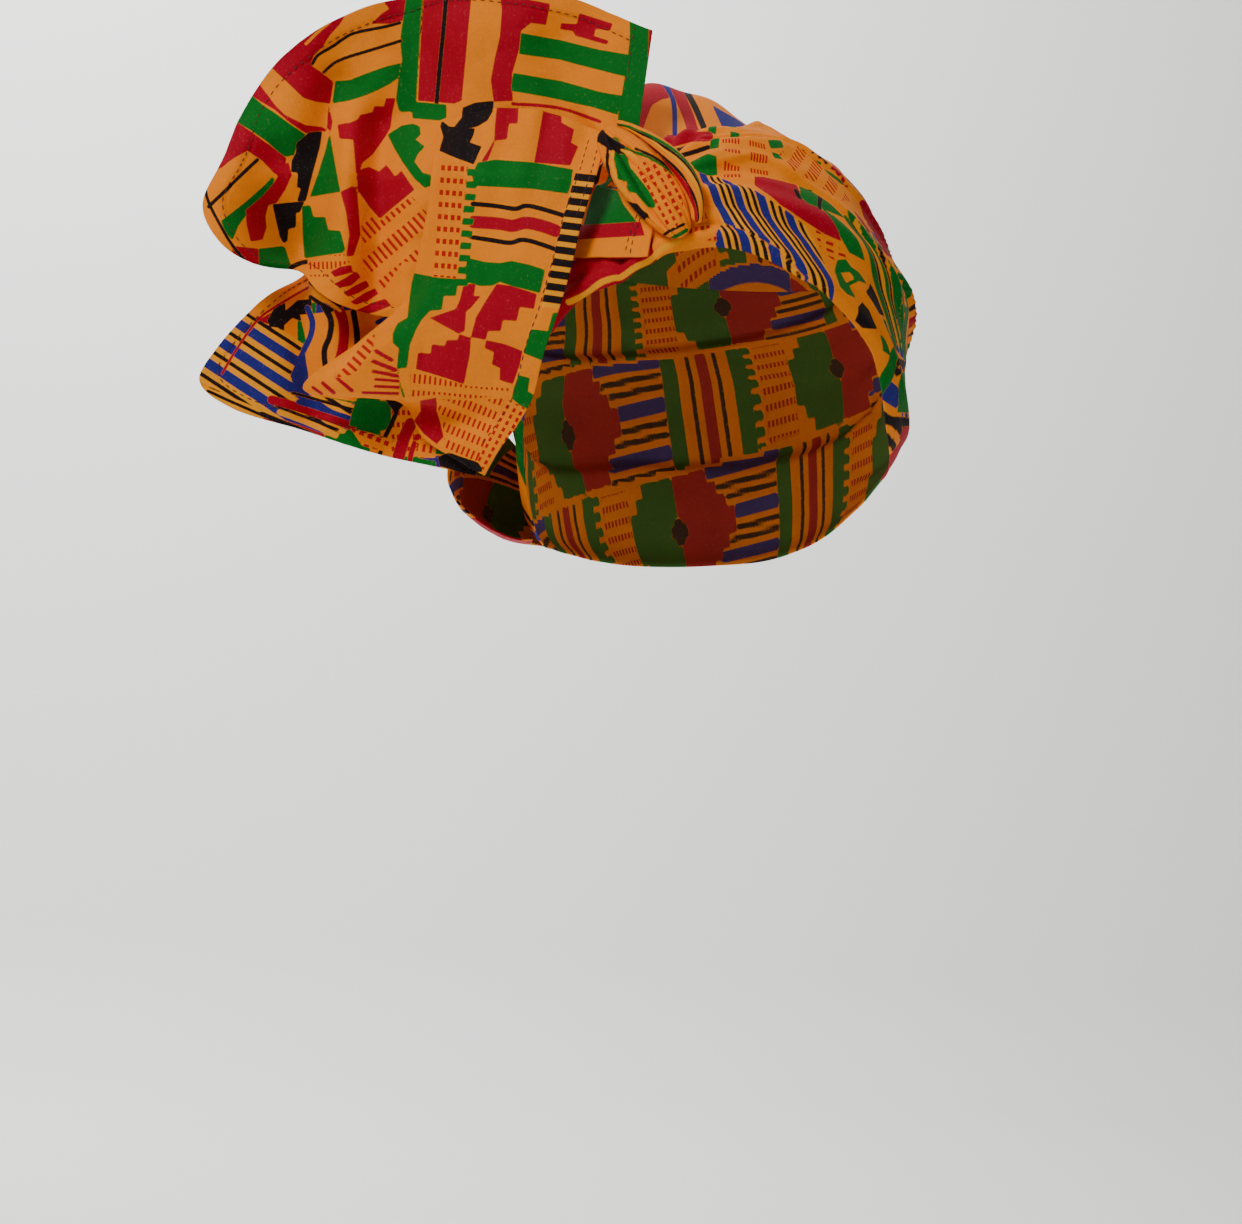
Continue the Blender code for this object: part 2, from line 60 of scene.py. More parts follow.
LIGHTS = (
    # name, place, aimed_at, size, power
    ("key_light", (-0.80, -1.10, 1.05), (0, 0, 0), 0.50, 16),
    ("fill_light", (1.30, -1.20, 0.35), (0, 0, 0), 1.1, 2.2),
    ("top_light", (0.10, 0.25, 1.35), (0, 0, 0), 1.0, 5),
    ("wall_light", (-0.70, 0.60, 1.05), (-0.50, 2.10, 0.05), 1.0, 44),
)

roll = math.radians(CAMERA_ROLL)
camera_data = bpy.data.cameras.new("camera")
camera_data.sensor_fit = "HORIZONTAL"
camera_data.sensor_width = SENSOR_WIDTH
camera_data.lens = CAMERA_LENS
camera = bpy.data.objects.new("camera", camera_data)
camera.matrix_world = Matrix((
    (math.cos(roll), -math.sin(roll), 0, CAMERA_RIGHT),
    (0, 0, -1, CAMERA_AHEAD),
    (math.sin(roll), math.cos(roll), 0, CAMERA_UP),
    (0, 0, 0, 1),
))
bpy.context.scene.collection.objects.link(camera)
bpy.context.scene.camera = camera


def front_chart(points):
    """Where points show from the front, across and down, in the photo's own steps.

    Across and down are the sideways and upright distances from the lens's axis, times the lens's
    length in steps, over the distance ahead of the camera.
    """
    right = points[..., 0] - CAMERA_RIGHT
    up = points[..., 2] - CAMERA_UP
    reach = CAMERA_LENS / SENSOR_WIDTH * PHOTO_ACROSS / (points[..., 1] - CAMERA_AHEAD)
    across = PHOTO_ACROSS / 2 + reach * (right * math.cos(roll) + up * math.sin(roll))
    down = PHOTO_DOWN / 2 - reach * (up * math.cos(roll) - right * math.sin(roll))
    return across, down


def grid_mesh(name, points, closed=False):
    """A mesh whose vertices are a grid of points, or a stack of grids, with quads in between.

    A closed grid's last column meets its first.
    """
    index = np.arange(points[..., 0].size).reshape(points.shape[:-1])
    if closed:
        index = np.concatenate([index, index[..., :1]], axis=-1)
    corners = np.stack([
        index[..., :-1, :-1], index[..., :-1, 1:], index[..., 1:, 1:], index[..., 1:, :-1],
    ], axis=-1)
    mesh = bpy.data.meshes.new(name)
    mesh.from_pydata(points.reshape(-1, 3), [], corners.reshape(-1, 4))
    mesh.shade_smooth()
    return mesh


def add_object(name, mesh):
    """An object at the origin that shows a mesh."""
    obj = bpy.data.objects.new(name, mesh)
    bpy.context.scene.collection.objects.link(obj)
    return obj


turn = np.radians(np.linspace(0, 90, COVE_STEPS + 1))
board_back = np.concatenate([
    [BOARD_FRONT], WALL_BACK - COVE_RADIUS + COVE_RADIUS * np.sin(turn), [WALL_BACK],
])
board_up = np.concatenate([
    [FLOOR_UP], FLOOR_UP + COVE_RADIUS * (1 - np.cos(turn)), [BOARD_TOP],
])
side = np.array([-BOARD_HALF_WIDTH, BOARD_HALF_WIDTH])[:, None] + 0 * board_back
board = add_object("backdrop_board", grid_mesh(
    "backdrop_board", np.stack([side, board_back + 0 * side, board_up + 0 * side], axis=-1)[::-1]))
board_paint = bpy.data.materials.new("backdrop_board_paint")
board_paint.use_nodes = True
board_shader = board_paint.node_tree.nodes["Principled BSDF"]
board_shader.inputs["Base Color"].default_value = BOARD_COLOUR
board_shader.inputs["Roughness"].default_value = BOARD_ROUGHNESS
board.data.materials.append(board_paint)

for name, place, aimed_at, size, power in LIGHTS:
    lamp = bpy.data.lights.new(name, "AREA")
    lamp.size = size
    lamp.energy = power
    light = bpy.data.objects.new(name, lamp)
    light.rotation_euler = (Vector(aimed_at) - Vector(place)).to_track_quat("-Z", "Y").to_euler()
    light.location = place
    bpy.context.scene.collection.objects.link(light)

world = bpy.data.worlds.new("studio")
world.use_nodes = True
room_light = world.node_tree.nodes["Background"]
room_light.inputs["Color"].default_value = ROOM_COLOUR
room_light.inputs["Strength"].default_value = ROOM_STRENGTH
bpy.context.scene.world = world


# The crown cover: the scarf's cotton drawn over the top of the head and pulled up into a peak
# towards the knot. It lies on the head, under the band's upper edge. This section also holds the
# head's form, the scarf's print and the cotton itself, which every later piece shares.
HEAD_HALF_WIDTH, HEAD_HALF_DEPTH = 0.068, 0.092
HEAD_DOME, HEAD_DROP = 0.081, 0.130
HEAD_CENTRE_UP = 0.015
HEAD_SQUARENESS = 2.5
CLOTH_THICKNESS = 0.0006
LAYER = 0.0019
CROWN_LIFT = 0.0013
CROWN_PEAK_HEIGHT, CROWN_PEAK_SPREAD = 0.022, 0.028
CROWN_PEAK_RIGHT, CROWN_PEAK_BACK = -0.026, -0.004
CROWN_FOLD_HEIGHT = 0.0026
CROWN_COVER_POLAR = 64
CROWN_FOLDS = (
    # from_right, from_back, to_right, to_back, height, width
    (-0.20, -0.62, 0.10, 0.55, 0.70, 0.090),
    (-0.30, -0.50, -0.30, 0.60, 1.00, 0.100),
    (-0.55, -0.30, -0.70, 0.35, 0.80, 0.090),
)
ORANGE = (1.0, 0.255, 0.0)
INKS = {
    "amber": (1.0, 0.36, 0.004),
    "crimson": (0.44, 0.0, 0.016),
    "green": (0.0, 0.155, 0.012),
    "blue": (0.016, 0.018, 0.20),
    "black": (0.010, 0.005, 0.006),
}
DASH_INK = (0.55, 0.004, 0.002)
DASH_ROW_SHARE, DASH_STEP_SHARE = 0.42, 0.58
DASH_MARGIN = 0.4
FAR_OUTSIDE = 9.0
STEP_OF_CHART = 0.36
MILLIMETRES = 1000


def ease(value):
    """0 below 0, 1 above 1, and between them three times the square less twice the cube."""
    value = np.clip(value, 0, 1)
    return value * value * (3 - 2 * value)


def hump(distance, width):
    """1 on a fold's line. Beside it, e to minus the square of the distance over the width."""
    return np.exp(-((distance / width) ** 2))


def from_line(first, second, start, end):
    """Distance from places to a straight line between two places, or to the nearer end of it."""
    run = end - start
    share = ((first - start[0]) * run[0] + (second - start[1]) * run[1]) / (run @ run)
    share = np.clip(share, 0, 1)
    return np.hypot(first - start[0] - share * run[0], second - start[1] - share * run[1])


def fold_relief(first, second, folds, stretch=(1, 1)):
    """Sum of the ridges and valleys of a table at a place: each a hump along its own line."""
    total = 0
    for *line, height, width in folds:
        away = from_line(first, second, np.array(line[:2]) * stretch, np.array(line[2:]) * stretch)
        total = total + height * hump(away, width * stretch[0])
    return total


def on_head(azimuth, polar, lift):
    """Points over the head for directions in degrees, lifted off it along its own slope.

    Across, ahead and above are sin a sin p, cos a sin p and cos p of the azimuth a and polar p,
    times the head's own sizes from its centre. Ahead is first raised to 2 over the squareness.
    """
    azimuth, polar = np.radians(azimuth), np.radians(polar)
    across = np.sin(azimuth) * np.sin(polar)
    ahead = np.cos(azimuth) * np.sin(polar)
    above = np.cos(polar)
    upright = np.where(above > 0, HEAD_DOME, HEAD_DROP)
    reach = np.sign(ahead) * np.abs(ahead) ** (2 / HEAD_SQUARENESS)
    steep = np.sign(ahead) * np.abs(ahead) ** (2 - 2 / HEAD_SQUARENESS)
    points = np.stack([
        across * HEAD_HALF_WIDTH,
        -reach * HEAD_HALF_DEPTH,
        above * upright + HEAD_CENTRE_UP,
    ], axis=-1)
    slope = np.stack([
        2 * across / HEAD_HALF_WIDTH,
        -HEAD_SQUARENESS * steep / HEAD_HALF_DEPTH,
        2 * above / upright,
    ], axis=-1)
    slope = slope / np.linalg.norm(slope, axis=-1, keepdims=True)
    return points + slope * np.asarray(lift)[..., None]


def crown_lift(azimuth, polar):
    """The crown cloth lies on the head, and the tie pulls it up into a peak on the knot's side.

    On top, a hump round the peak and the relief of the folds are added to an even lift.
    """
    bare = on_head(azimuth, polar, 0)
    away = np.hypot(bare[..., 0] - CROWN_PEAK_RIGHT, bare[..., 1] - CROWN_PEAK_BACK)
    on_top = ease(bare[..., 2] / HEAD_DOME)
    folds = fold_relief(bare[..., 0] / HEAD_HALF_WIDTH, bare[..., 1] / HEAD_HALF_DEPTH, CROWN_FOLDS)
    peak = CROWN_PEAK_HEIGHT * hump(away, CROWN_PEAK_SPREAD)
    return CROWN_LIFT + on_top * (peak + CROWN_FOLD_HEIGHT * folds)


CRUMPLE_WAVES, CRUMPLE_WHOLE = 5, 3.1
CRUMPLE_HEADING, CRUMPLE_TURN = 0.7, 2.4
CRUMPLE_QUICKEN, CRUMPLE_FADE = 0.37, 0.4
CRUMPLE_OFFSET, CRUMPLE_BEND = 1.3, 1.1


def crumple(first, second, size):
    """Soft irregular creases from about -1 to 1.

    They are sine waves, each in its own direction, shorter and weaker than the one before it and
    bent by it. Their sum is divided by the sum of their heights.
    """
    total, bend = 0, 0
    for k in range(CRUMPLE_WAVES):
        heading = CRUMPLE_HEADING + CRUMPLE_TURN * k
        along = (first * math.cos(heading) + second * math.sin(heading)) / size
        phase = CRUMPLE_OFFSET * k + CRUMPLE_BEND * bend
        bend = np.sin(along * (1 + CRUMPLE_QUICKEN * k) * 2 * math.pi + phase)
        total = total + bend / (1 + CRUMPLE_FADE * k)
    return total / CRUMPLE_WHOLE


def through(rows, share):
    """Columns of a table at shares of its length, on smooth curves through every row.

    Between two rows it is a cubic. Its slope at a row is half the way between that row's neighbours.
    """
    rows = np.asarray(rows, float)
    padded = np.vstack([2 * rows[0] - rows[1], rows, 2 * rows[-1] - rows[-2]])
    place = np.asarray(share) * (len(rows) - 1)
    step = np.minimum(place.astype(int), len(rows) - 2)
    t = (place - step)[..., None]
    a, b, c, d = (padded[step + k] for k in range(4))
    curve = b + 0.5 * t * (c - a + t * (2 * a - 5 * b + 4 * c - d + t * (3 * (b - c) + d - a)))
    return np.moveaxis(curve, -1, 0)


def outline(first, second, corners):
    """Distance to a closed outline, below 0 inside it.

    It is the distance to the nearest edge. A place is inside where a level ray from it crosses an
    odd number of edges.
    """
    corners = np.reshape(corners, (-1, 2)).astype(float)
    nearest = np.full(first.shape, np.inf)
    inside = np.zeros(first.shape, bool)
    for start, end in zip(corners, np.roll(corners, -1, axis=0)):
        nearest = np.minimum(nearest, from_line(first, second, start, end))
        if end[1] != start[1]:
            crossing = start[0] + (second - start[1]) / (end[1] - start[1]) * (end[0] - start[0])
            inside ^= ((start[1] > second) != (end[1] > second)) & (first < crossing)
    return np.where(inside, -nearest, nearest)


def ribbon(first, second, places, width):
    """Distance to a band of one width along a smooth line through a few places."""
    places = np.reshape(places, (-1, 2))
    line = through(places, np.linspace(0, 1, 4 * len(places))).T
    nearest = np.full(first.shape, np.inf)
    for start, end in zip(line[:-1], line[1:]):
        nearest = np.minimum(nearest, from_line(first, second, start, end))
    return nearest - width / 2


def box(first, second, first_from, first_to, second_from, second_to):
    """Distance to an upright box, below 0 inside it: the largest of the ways past its sides."""
    return np.maximum(
        np.maximum(first_from - first, first - first_to),
        np.maximum(second_from - second, second - second_to),
    )


def stripe_distance(counted, start, end, whole=1):
    """Distance to a stripe that comes back at every whole count, below 0 inside it.

    It is the way to the nearest copy of the stripe's middle, less half the stripe's width.
    """
    middle = (start + end) / 2
    return np.abs(np.mod(counted - middle + whole / 2, whole) - whole / 2) - (end - start) / 2


def blank_print(shape):
    """A print with no ink yet: far outside every ink's area and outside every field of dashes."""
    inks = {ink: np.full(shape, FAR_OUTSIDE) for ink in (*INKS, "dash_field")}
    inks.update(dash_row=np.zeros(shape), dash_step=np.zeros(shape))
    return inks


def stamp(inks, ink, distance):
    """Prints an ink inside a shape: it joins that ink's area and is cut out of all the others.

    Distances are in millimetres of cloth. The ink named orange leaves the ground cloth bare.
    """
    for name in (*INKS, "dash_field"):
        if name == ink:
            inks[name] = np.minimum(inks[name], distance)
        else:
            inks[name] = np.maximum(inks[name], -distance)


def print_shapes(inks, first, second, step, shapes):
    """Prints a table of shapes: outlines where the width is 0, and otherwise bands of that width.

    Their places are in steps of the first and second measure, and a step is so many millimetres.
    """
    for ink, width, places in shapes:
        if width:
            distance = ribbon(first, second, places, width)
        else:
            distance = outline(first, second, places)
        stamp(inks, ink, distance * step)


def print_stripes(inks, inside, counted, pitch, stripes):
    """Prints stripes that come back at every whole count, so many millimetres apart, in a shape."""
    for ink, start, end in stripes:
        stamp(inks, ink, np.maximum(inside, stripe_distance(counted, start, end) * pitch))


def stamp_dashes(inks, distance, row, step):
    """Prints a field of short dashes. Row and step count the dashes across and along the rows."""
    stamp(inks, "dash_field", distance)
    inside = distance < DASH_MARGIN
    inks["dash_row"] = np.where(inside, row, inks["dash_row"])
    inks["dash_step"] = np.where(inside, step, inks["dash_step"])


def print_dash_fields(inks, first, second, step, fields):
    """Prints a table of dash fields: the rows' heading in degrees, both pitches and the outline.

    A place is turned by the heading, and its two ways over the pitches count the dashes.
    """
    for heading, row_pitch, dash_pitch, corners in fields:
        heading = math.radians(heading)
        along = first * math.cos(heading) + second * math.sin(heading)
        across = second * math.cos(heading) - first * math.sin(heading)
        inside = outline(first, second, corners) * step
        stamp_dashes(inks, inside, across / row_pitch, along / dash_pitch)


def print_front(inks, points, shapes, fields=()):
    """Prints shapes and fields of dashes by where the cloth shows from the front.

    Cloth behind the middle of the head counts as far to the left, where nothing is printed.
    """
    across, down = front_chart(points)
    across = np.where(points[..., 1] < 0, across, 0)
    print_shapes(inks, across, down, STEP_OF_CHART, shapes)
    print_dash_fields(inks, across, down, STEP_OF_CHART, fields)


# Each strip of the woven pattern repeats its blocks: bars across it, lengthwise stripes, stepped
# diamonds and fields of dashes. Lengths are in millimetres of cloth.
KENTE_STRIP, KENTE_REPEAT, KENTE_SHIFT = 34.0, 132.0, 47.0
KENTE_BAR_MARGIN, KENTE_DASH_MARGIN, KENTE_COMB_MARGIN = 0.4, 1.5, 0.5
KENTE_BARS = (
    # ink, start, end
    ("green", 0, 7), ("black", 11.8, 13.7), ("crimson", 16.5, 21.5),
    ("black", 24.3, 26.2), ("green", 31, 38),
)
KENTE_STRIPES = (
    # ink, start, end
    ("blue", 0, 4.2), ("black", 6.0, 7.7), ("black", 9.4, 11.1), ("blue", 13, 17.2),
    ("black", 19.0, 20.7), ("black", 22.4, 24.1), ("blue", 26, 30.2), ("black", 32, 33.7),
)
KENTE_STRIPES_FROM, KENTE_STRIPES_TO = 38, 72
DIAMOND_MIDDLE, DIAMOND_STEPS, DIAMOND_STEP = 88, 4, 4
DIAMOND_EYE_STEPS, DIAMOND_EYE_STEP = 3, 2
KENTE_DASHES_FROM, KENTE_DASHES_TO = 112, 127
KENTE_DASH_ROW, KENTE_DASH_STEP = 4.4, 1.9
KENTE_COMB_FROM = 128
KENTE_TOOTH_FROM, KENTE_TOOTH_TO = 0.9, 3.5


def kente_ground(inks, first, second, lay):
    """Prints the repeating pattern: strips side by side, each shifted by a part of the repeat.

    The lay gives the way along the strips and then across them: each is a multiple of the first
    measure, plus a multiple of the second, plus a start.
    """
    along = first * lay[0] + second * lay[1] + lay[2]
    across = first * lay[3] + second * lay[4] + lay[5]
    strip = np.floor(across / KENTE_STRIP)
    width = across - strip * KENTE_STRIP
    length = np.mod(along + strip * KENTE_SHIFT, KENTE_REPEAT)
    middle = KENTE_STRIP / 2
    in_strip = np.maximum(KENTE_BAR_MARGIN - width, width - KENTE_STRIP)
    for ink, start, end in KENTE_BARS:
        stamp(inks, ink, np.maximum(stripe_distance(length, start, end, KENTE_REPEAT), in_strip))
    for ink, start, end in KENTE_STRIPES:
        stamp(inks, ink, box(length, width, KENTE_STRIPES_FROM, KENTE_STRIPES_TO, start, end))
    for ink, side in (("crimson", -1), ("green", 1)):
        for k in range(DIAMOND_STEPS):
            at = DIAMOND_MIDDLE + side * (k + 2) * DIAMOND_STEP
            reach = (DIAMOND_STEPS - k) * DIAMOND_STEP
            stamp(inks, ink, box(length, width, at - 2 * DIAMOND_STEP, at + 2 * DIAMOND_STEP,
                                 middle - reach, middle + reach))
    for k in range(DIAMOND_EYE_STEPS):
        half_length = (k + 1) * DIAMOND_EYE_STEP
        reach = (DIAMOND_EYE_STEPS - 1 - k) * DIAMOND_EYE_STEP
        stamp(inks, "black", box(length, width, DIAMOND_MIDDLE - half_length, DIAMOND_MIDDLE + half_length,
                                 middle - reach, middle + reach))
    in_dashes = box(length, width, KENTE_DASHES_FROM, KENTE_DASHES_TO,
                    KENTE_DASH_MARGIN, KENTE_STRIP - KENTE_DASH_MARGIN)
    stamp_dashes(inks, in_dashes, width / KENTE_DASH_ROW, length / KENTE_DASH_STEP)
    in_comb = box(length, width, KENTE_COMB_FROM, KENTE_REPEAT,
                  KENTE_COMB_MARGIN, KENTE_STRIP - KENTE_COMB_MARGIN)
    teeth = stripe_distance(width, KENTE_TOOTH_FROM, KENTE_TOOTH_TO, KENTE_DASH_ROW)
    stamp(inks, "green", np.maximum(in_comb, teeth))


INK_EDGE_FRAY, INK_EDGE_SHARPNESS = 0.22, 4.0
DASH_ROW_FRAY, DASH_STEP_FRAY = 0.3, 0.4
FRAY_SCALE, PATCH_SCALE, FLECK_SCALE = 1400.0, 55.0, 1100.0
PATCH_DEPTH, FLECK_DEPTH = 0.30, 0.26
LINT_COLOUR, LINT_SHARE = (0.75, 0.45, 0.30, 1), 0.10
LINT_FROM, LINT_SHARPNESS = 0.61, 5.0
FADED_COLOUR, REVERSE_FADE = (0.62, 0.38, 0.18, 1), 0.11
WEAVE_PITCH, WEAVE_DEPTH, WEAVE_STRENGTH = 0.00045, 0.00012, 0.35
COTTON_ROUGHNESS, COTTON_ROUGHNESS_RANGE = 0.68, 0.16
COTTON_SPECULAR, COTTON_SHEEN, COTTON_SHEEN_ROUGHNESS = 0.14, 0.04, 0.45
COTTON_SHEEN_TINT = (1.0, 0.75, 0.55, 1)


def printed_cotton(name, fade=0.0):
    """Plain-woven cotton with its print.

    An ink covers the cloth where its distance attribute is below 0. Dashes show in their field
    where both counts are in the first part of a whole number. Fine noise frays the edges of the
    print and flecks it, slow noise varies its depth, and two sets of threads make the weave. The
    reverse is the same print, faded.
    """
    material = bpy.data.materials.new(name)
    material.use_nodes = True
    nodes, links = material.node_tree.nodes, material.node_tree.links
    shader = nodes["Principled BSDF"]

    def place(kind, inputs, output=0, **settings):
        """One output of a new node, once its settings are made and its inputs given or linked."""
        node = nodes.new(kind)
        for key, value in settings.items():
            setattr(node, key, value)
        for key, value in inputs.items():
            if isinstance(value, bpy.types.NodeSocket):
                links.new(value, node.inputs[key])
            else:
                node.inputs[key].default_value = value
        return node.outputs[output]

    def sums(operation, first, second=0.0, third=0.0, clamp=False):
        """The result of one operation on up to three values."""
        return place("ShaderNodeMath", {0: first, 1: second, 2: third},
                     operation=operation, use_clamp=clamp)

    def attribute(key):
        """A value that the cloth keeps at every point."""
        return place("ShaderNodeAttribute", {}, output="Fac", attribute_name=key)

    def blend(share, under, over):
        """A share of one colour over another."""
        return place("ShaderNodeMix", {0: share, 6: under, 7: over}, output=2, data_type="RGBA")

    def in_first_part(key, sway, share):
        """1 where a count, swayed by the fray, is in the first part of a whole number."""
        counted = sums("ADD", attribute(key), sums("MULTIPLY", fray, sway))
        return sums("LESS_THAN", sums("FRACT", counted), share)

    cloth = place("ShaderNodeTexCoord", {}, output="Object")
    fray = place("ShaderNodeTexNoise", {"Vector": cloth, "Scale": FRAY_SCALE, "Detail": 1.0})
    fray = sums("MULTIPLY_ADD", fray, INK_EDGE_FRAY, -INK_EDGE_FRAY / 2)
    colour = (*ORANGE, 1)
    for ink, tint in INKS.items():
        edge = sums("ADD", attribute("ink_" + ink), fray)
        share = sums("MULTIPLY_ADD", edge, -INK_EDGE_SHARPNESS, 0.5, clamp=True)
        colour = blend(share, colour, (*tint, 1))
    row = in_first_part("dash_row", DASH_ROW_FRAY, DASH_ROW_SHARE)
    step = in_first_part("dash_step", DASH_STEP_FRAY, DASH_STEP_SHARE)
    field = sums("LESS_THAN", attribute("ink_dash_field"), 0.0)
    dashes = sums("MULTIPLY", sums("MULTIPLY", row, step), field)
    colour = blend(dashes, colour, (*DASH_INK, 1))

    slow = place("ShaderNodeTexNoise", {"Vector": cloth, "Scale": PATCH_SCALE, "Detail": 3.0})
    fleck = place("ShaderNodeTexNoise", {"Vector": cloth, "Scale": FLECK_SCALE, "Detail": 2.0})
    depth = sums("MULTIPLY_ADD", slow, PATCH_DEPTH, 1 - PATCH_DEPTH / 2)
    depth = sums("MULTIPLY", depth, sums("MULTIPLY_ADD", fleck, FLECK_DEPTH, 1 - FLECK_DEPTH / 2))
    deep = place("ShaderNodeVectorMath", {0: colour, "Scale": depth}, operation="SCALE")
    lint = sums("MULTIPLY_ADD", fleck, LINT_SHARPNESS, -LINT_SHARPNESS * LINT_FROM, clamp=True)
    deep = blend(sums("MULTIPLY", lint, LINT_SHARE), deep, LINT_COLOUR)
    if fade:
        deep = blend(fade, deep, FADED_COLOUR)
    links.new(deep, shader.inputs["Base Color"])

    threads = place("ShaderNodeUVMap", {}, uv_map="cloth")
    parts = nodes.new("ShaderNodeSeparateXYZ")
    links.new(threads, parts.inputs[0])
    warp, weft = (
        sums("SINE", sums("MULTIPLY", metres, 2 * math.pi / WEAVE_PITCH)) for metres in parts.outputs[:2])
    weave = sums("MULTIPLY_ADD", sums("MULTIPLY", warp, weft), 0.5, fleck)
    bump = place("ShaderNodeBump", {
        "Strength": WEAVE_STRENGTH, "Distance": WEAVE_DEPTH, "Height": weave,
    })
    links.new(bump, shader.inputs["Normal"])
    rough = sums("MULTIPLY_ADD", slow, COTTON_ROUGHNESS_RANGE, COTTON_ROUGHNESS)
    links.new(rough, shader.inputs["Roughness"])
    shader.inputs["Specular IOR Level"].default_value = COTTON_SPECULAR
    shader.inputs["Sheen Weight"].default_value = COTTON_SHEEN
    shader.inputs["Sheen Roughness"].default_value = COTTON_SHEEN_ROUGHNESS
    shader.inputs["Sheen Tint"].default_value = COTTON_SHEEN_TINT
    return material


MERGE_DISTANCE = 1e-6


def close_poles(mesh):
    """Joins the points that lie on one another, so that poles and seams are closed."""
    merged = bmesh.new()
    merged.from_mesh(mesh)
    bmesh.ops.remove_doubles(merged, verts=merged.verts, dist=MERGE_DISTANCE)
    merged.to_mesh(mesh)
    merged.free()
    mesh.shade_smooth()


def cloth_piece(name, points, inks, closed=False, pole=False):
    """A sheet of printed cotton on a grid of points, with its wall, its print and its reverse.

    Its map measures metres of cloth along and across the grid, for the weave. The print is kept as
    one distance for each ink at every point. Where a row is a pole, its points are made one.
    """
    mesh = grid_mesh(name, points, closed)
    for key, values in inks.items():
        key = key if key in ("dash_row", "dash_step") else "ink_" + key
        mesh.attributes.new(key, "FLOAT", "POINT").data.foreach_set("value", values.ravel())
    columns = points.shape[1]
    steps_down = np.linalg.norm(np.diff(points, axis=0), axis=-1).mean(axis=1)
    ring = np.concatenate([points, points[:, :1]], axis=1) if closed else points
    steps_along = np.linalg.norm(np.diff(ring, axis=1), axis=-1).mean(axis=0)
    down = np.concatenate([[0], np.cumsum(steps_down)])
    along = np.concatenate([[0], np.cumsum(steps_along)])
    corner = np.empty(len(mesh.loops), np.int32)
    mesh.loops.foreach_get("vertex_index", corner)
    row, column = corner // columns, corner % columns
    if closed:
        first_of_face = np.arange(len(corner)) // 4 * 4
        column = np.where((column == 0) & (column[first_of_face] == columns - 1), columns, column)
    places = np.stack([along[column], down[row]], axis=-1)
    mesh.uv_layers.new(name="cloth").data.foreach_set("uv", places.ravel())
    if pole:
        close_poles(mesh)
    mesh.materials.append(cotton_face)
    mesh.materials.append(cotton_reverse)
    obj = add_object(name, mesh)
    wall = obj.modifiers.new("cloth_wall", "SOLIDIFY")
    wall.thickness = CLOTH_THICKNESS
    wall.offset = 0
    wall.use_even_offset = False
    wall.material_offset = 1
    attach(obj, "root")
    return obj


cotton_face = printed_cotton("kente_print_cotton")
cotton_reverse = printed_cotton("kente_print_cotton_reverse", fade=REVERSE_FADE)


CROWN_PRINT = (
    # ink, width, (across, down of each place)
    ("orange", 0, (620, 50, 790, 50, 790, 165, 620, 165)),
    ("crimson", 0, (625, 60, 655, 74, 668, 84, 674, 98, 662, 100, 652, 106, 646, 122, 640, 140, 620, 150)),
    ("orange", 6.0, (648, 132, 654, 114, 662, 106, 668, 112)),
    ("blue", 5.0, (658, 78, 668, 90, 674, 106, 675, 140)),
    ("crimson", 11.0, (672, 80, 682, 102, 690, 122, 696, 145)),
    ("black", 6.0, (684, 88, 695, 108, 706, 134, 714, 155)),
    ("blue", 0, (712, 106, 740, 122, 766, 142, 730, 146)),
    ("black", 4.0, (742, 108, 766, 126, 790, 150)),
)
CROWN_LAY = (940, -340, 60, 340, 940, 500)
CROWN_CREASE_HEIGHT, CROWN_CREASE_SIZE, CROWN_CREASE_STRETCH = 0.0007, 0.030, 0.45
CROWN_CREASE_EDGE, CROWN_CREASE_FADE = 60, 25
CROWN_STEPS_ROUND, CROWN_STEPS_DOWN = 300, 90


def crown_surface(azimuth, polar):
    """The crown's cloth with the creases that run back from the knot.

    They are a crumple drawn out from front to back, which fades away under the band.
    """
    bare = on_head(azimuth, polar, 0)
    showing = ease((CROWN_CREASE_EDGE - polar) / CROWN_CREASE_FADE)
    creases = crumple(bare[..., 0], bare[..., 1] * CROWN_CREASE_STRETCH, CROWN_CREASE_SIZE)
    return on_head(azimuth, polar, crown_lift(azimuth, polar) + CROWN_CREASE_HEIGHT * creases * showing)


polar = np.linspace(CROWN_COVER_POLAR, 0, CROWN_STEPS_DOWN)
azimuth = np.arange(CROWN_STEPS_ROUND) * 360 / CROWN_STEPS_ROUND
polar, azimuth = np.meshgrid(polar, azimuth, indexing="ij")
points = crown_surface(azimuth, polar)
inks = blank_print(polar.shape)
kente_ground(inks, points[..., 0], points[..., 1], CROWN_LAY)
print_front(inks, points, CROWN_PRINT)
crown = cloth_piece("crown_cover_cloth", points, inks, closed=True, pole=True)
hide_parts("crown_cover")


# The head band: the gathered cotton wound from the knot round the nape and back. Its lower edge
# lies above the brow, and the pull of the knot gathers it into long folds.
BAND_FOLD_HEIGHT = 0.0042
BAND_FOLD_START, BAND_FOLD_RISE = 6, 26
BAND_FLATTEN_FROM, BAND_FLATTEN_OVER = 60, 100
BAND_BACK_SHARE = 0.45
KNOT_AZIMUTH, KNOT_POLAR = -30.7, 51.0
KNOT_GATHER, KNOT_GATHER_SPREAD = 0.0009, 30
BAND_ROWS = (
    # azimuth, lower_polar, upper_polar
    (-31, 77.5, 33), (-19, 71.0, 28), (-7, 68.5, 25), (6, 69.0, 22), (20, 73.5, 17),
    (37, 81.5, 13), (53, 91.5, 13), (66, 101, 14), (80, 106, 16), (95, 109, 18),
    (110, 113, 20), (125, 118, 22), (150, 123, 27), (175, 125, 32), (205, 126, 38),
    (245, 124, 44), (263, 122.5, 47), (273, 118, 48), (283, 106, 47), (300, 93, 43),
    (315, 82, 37),
)
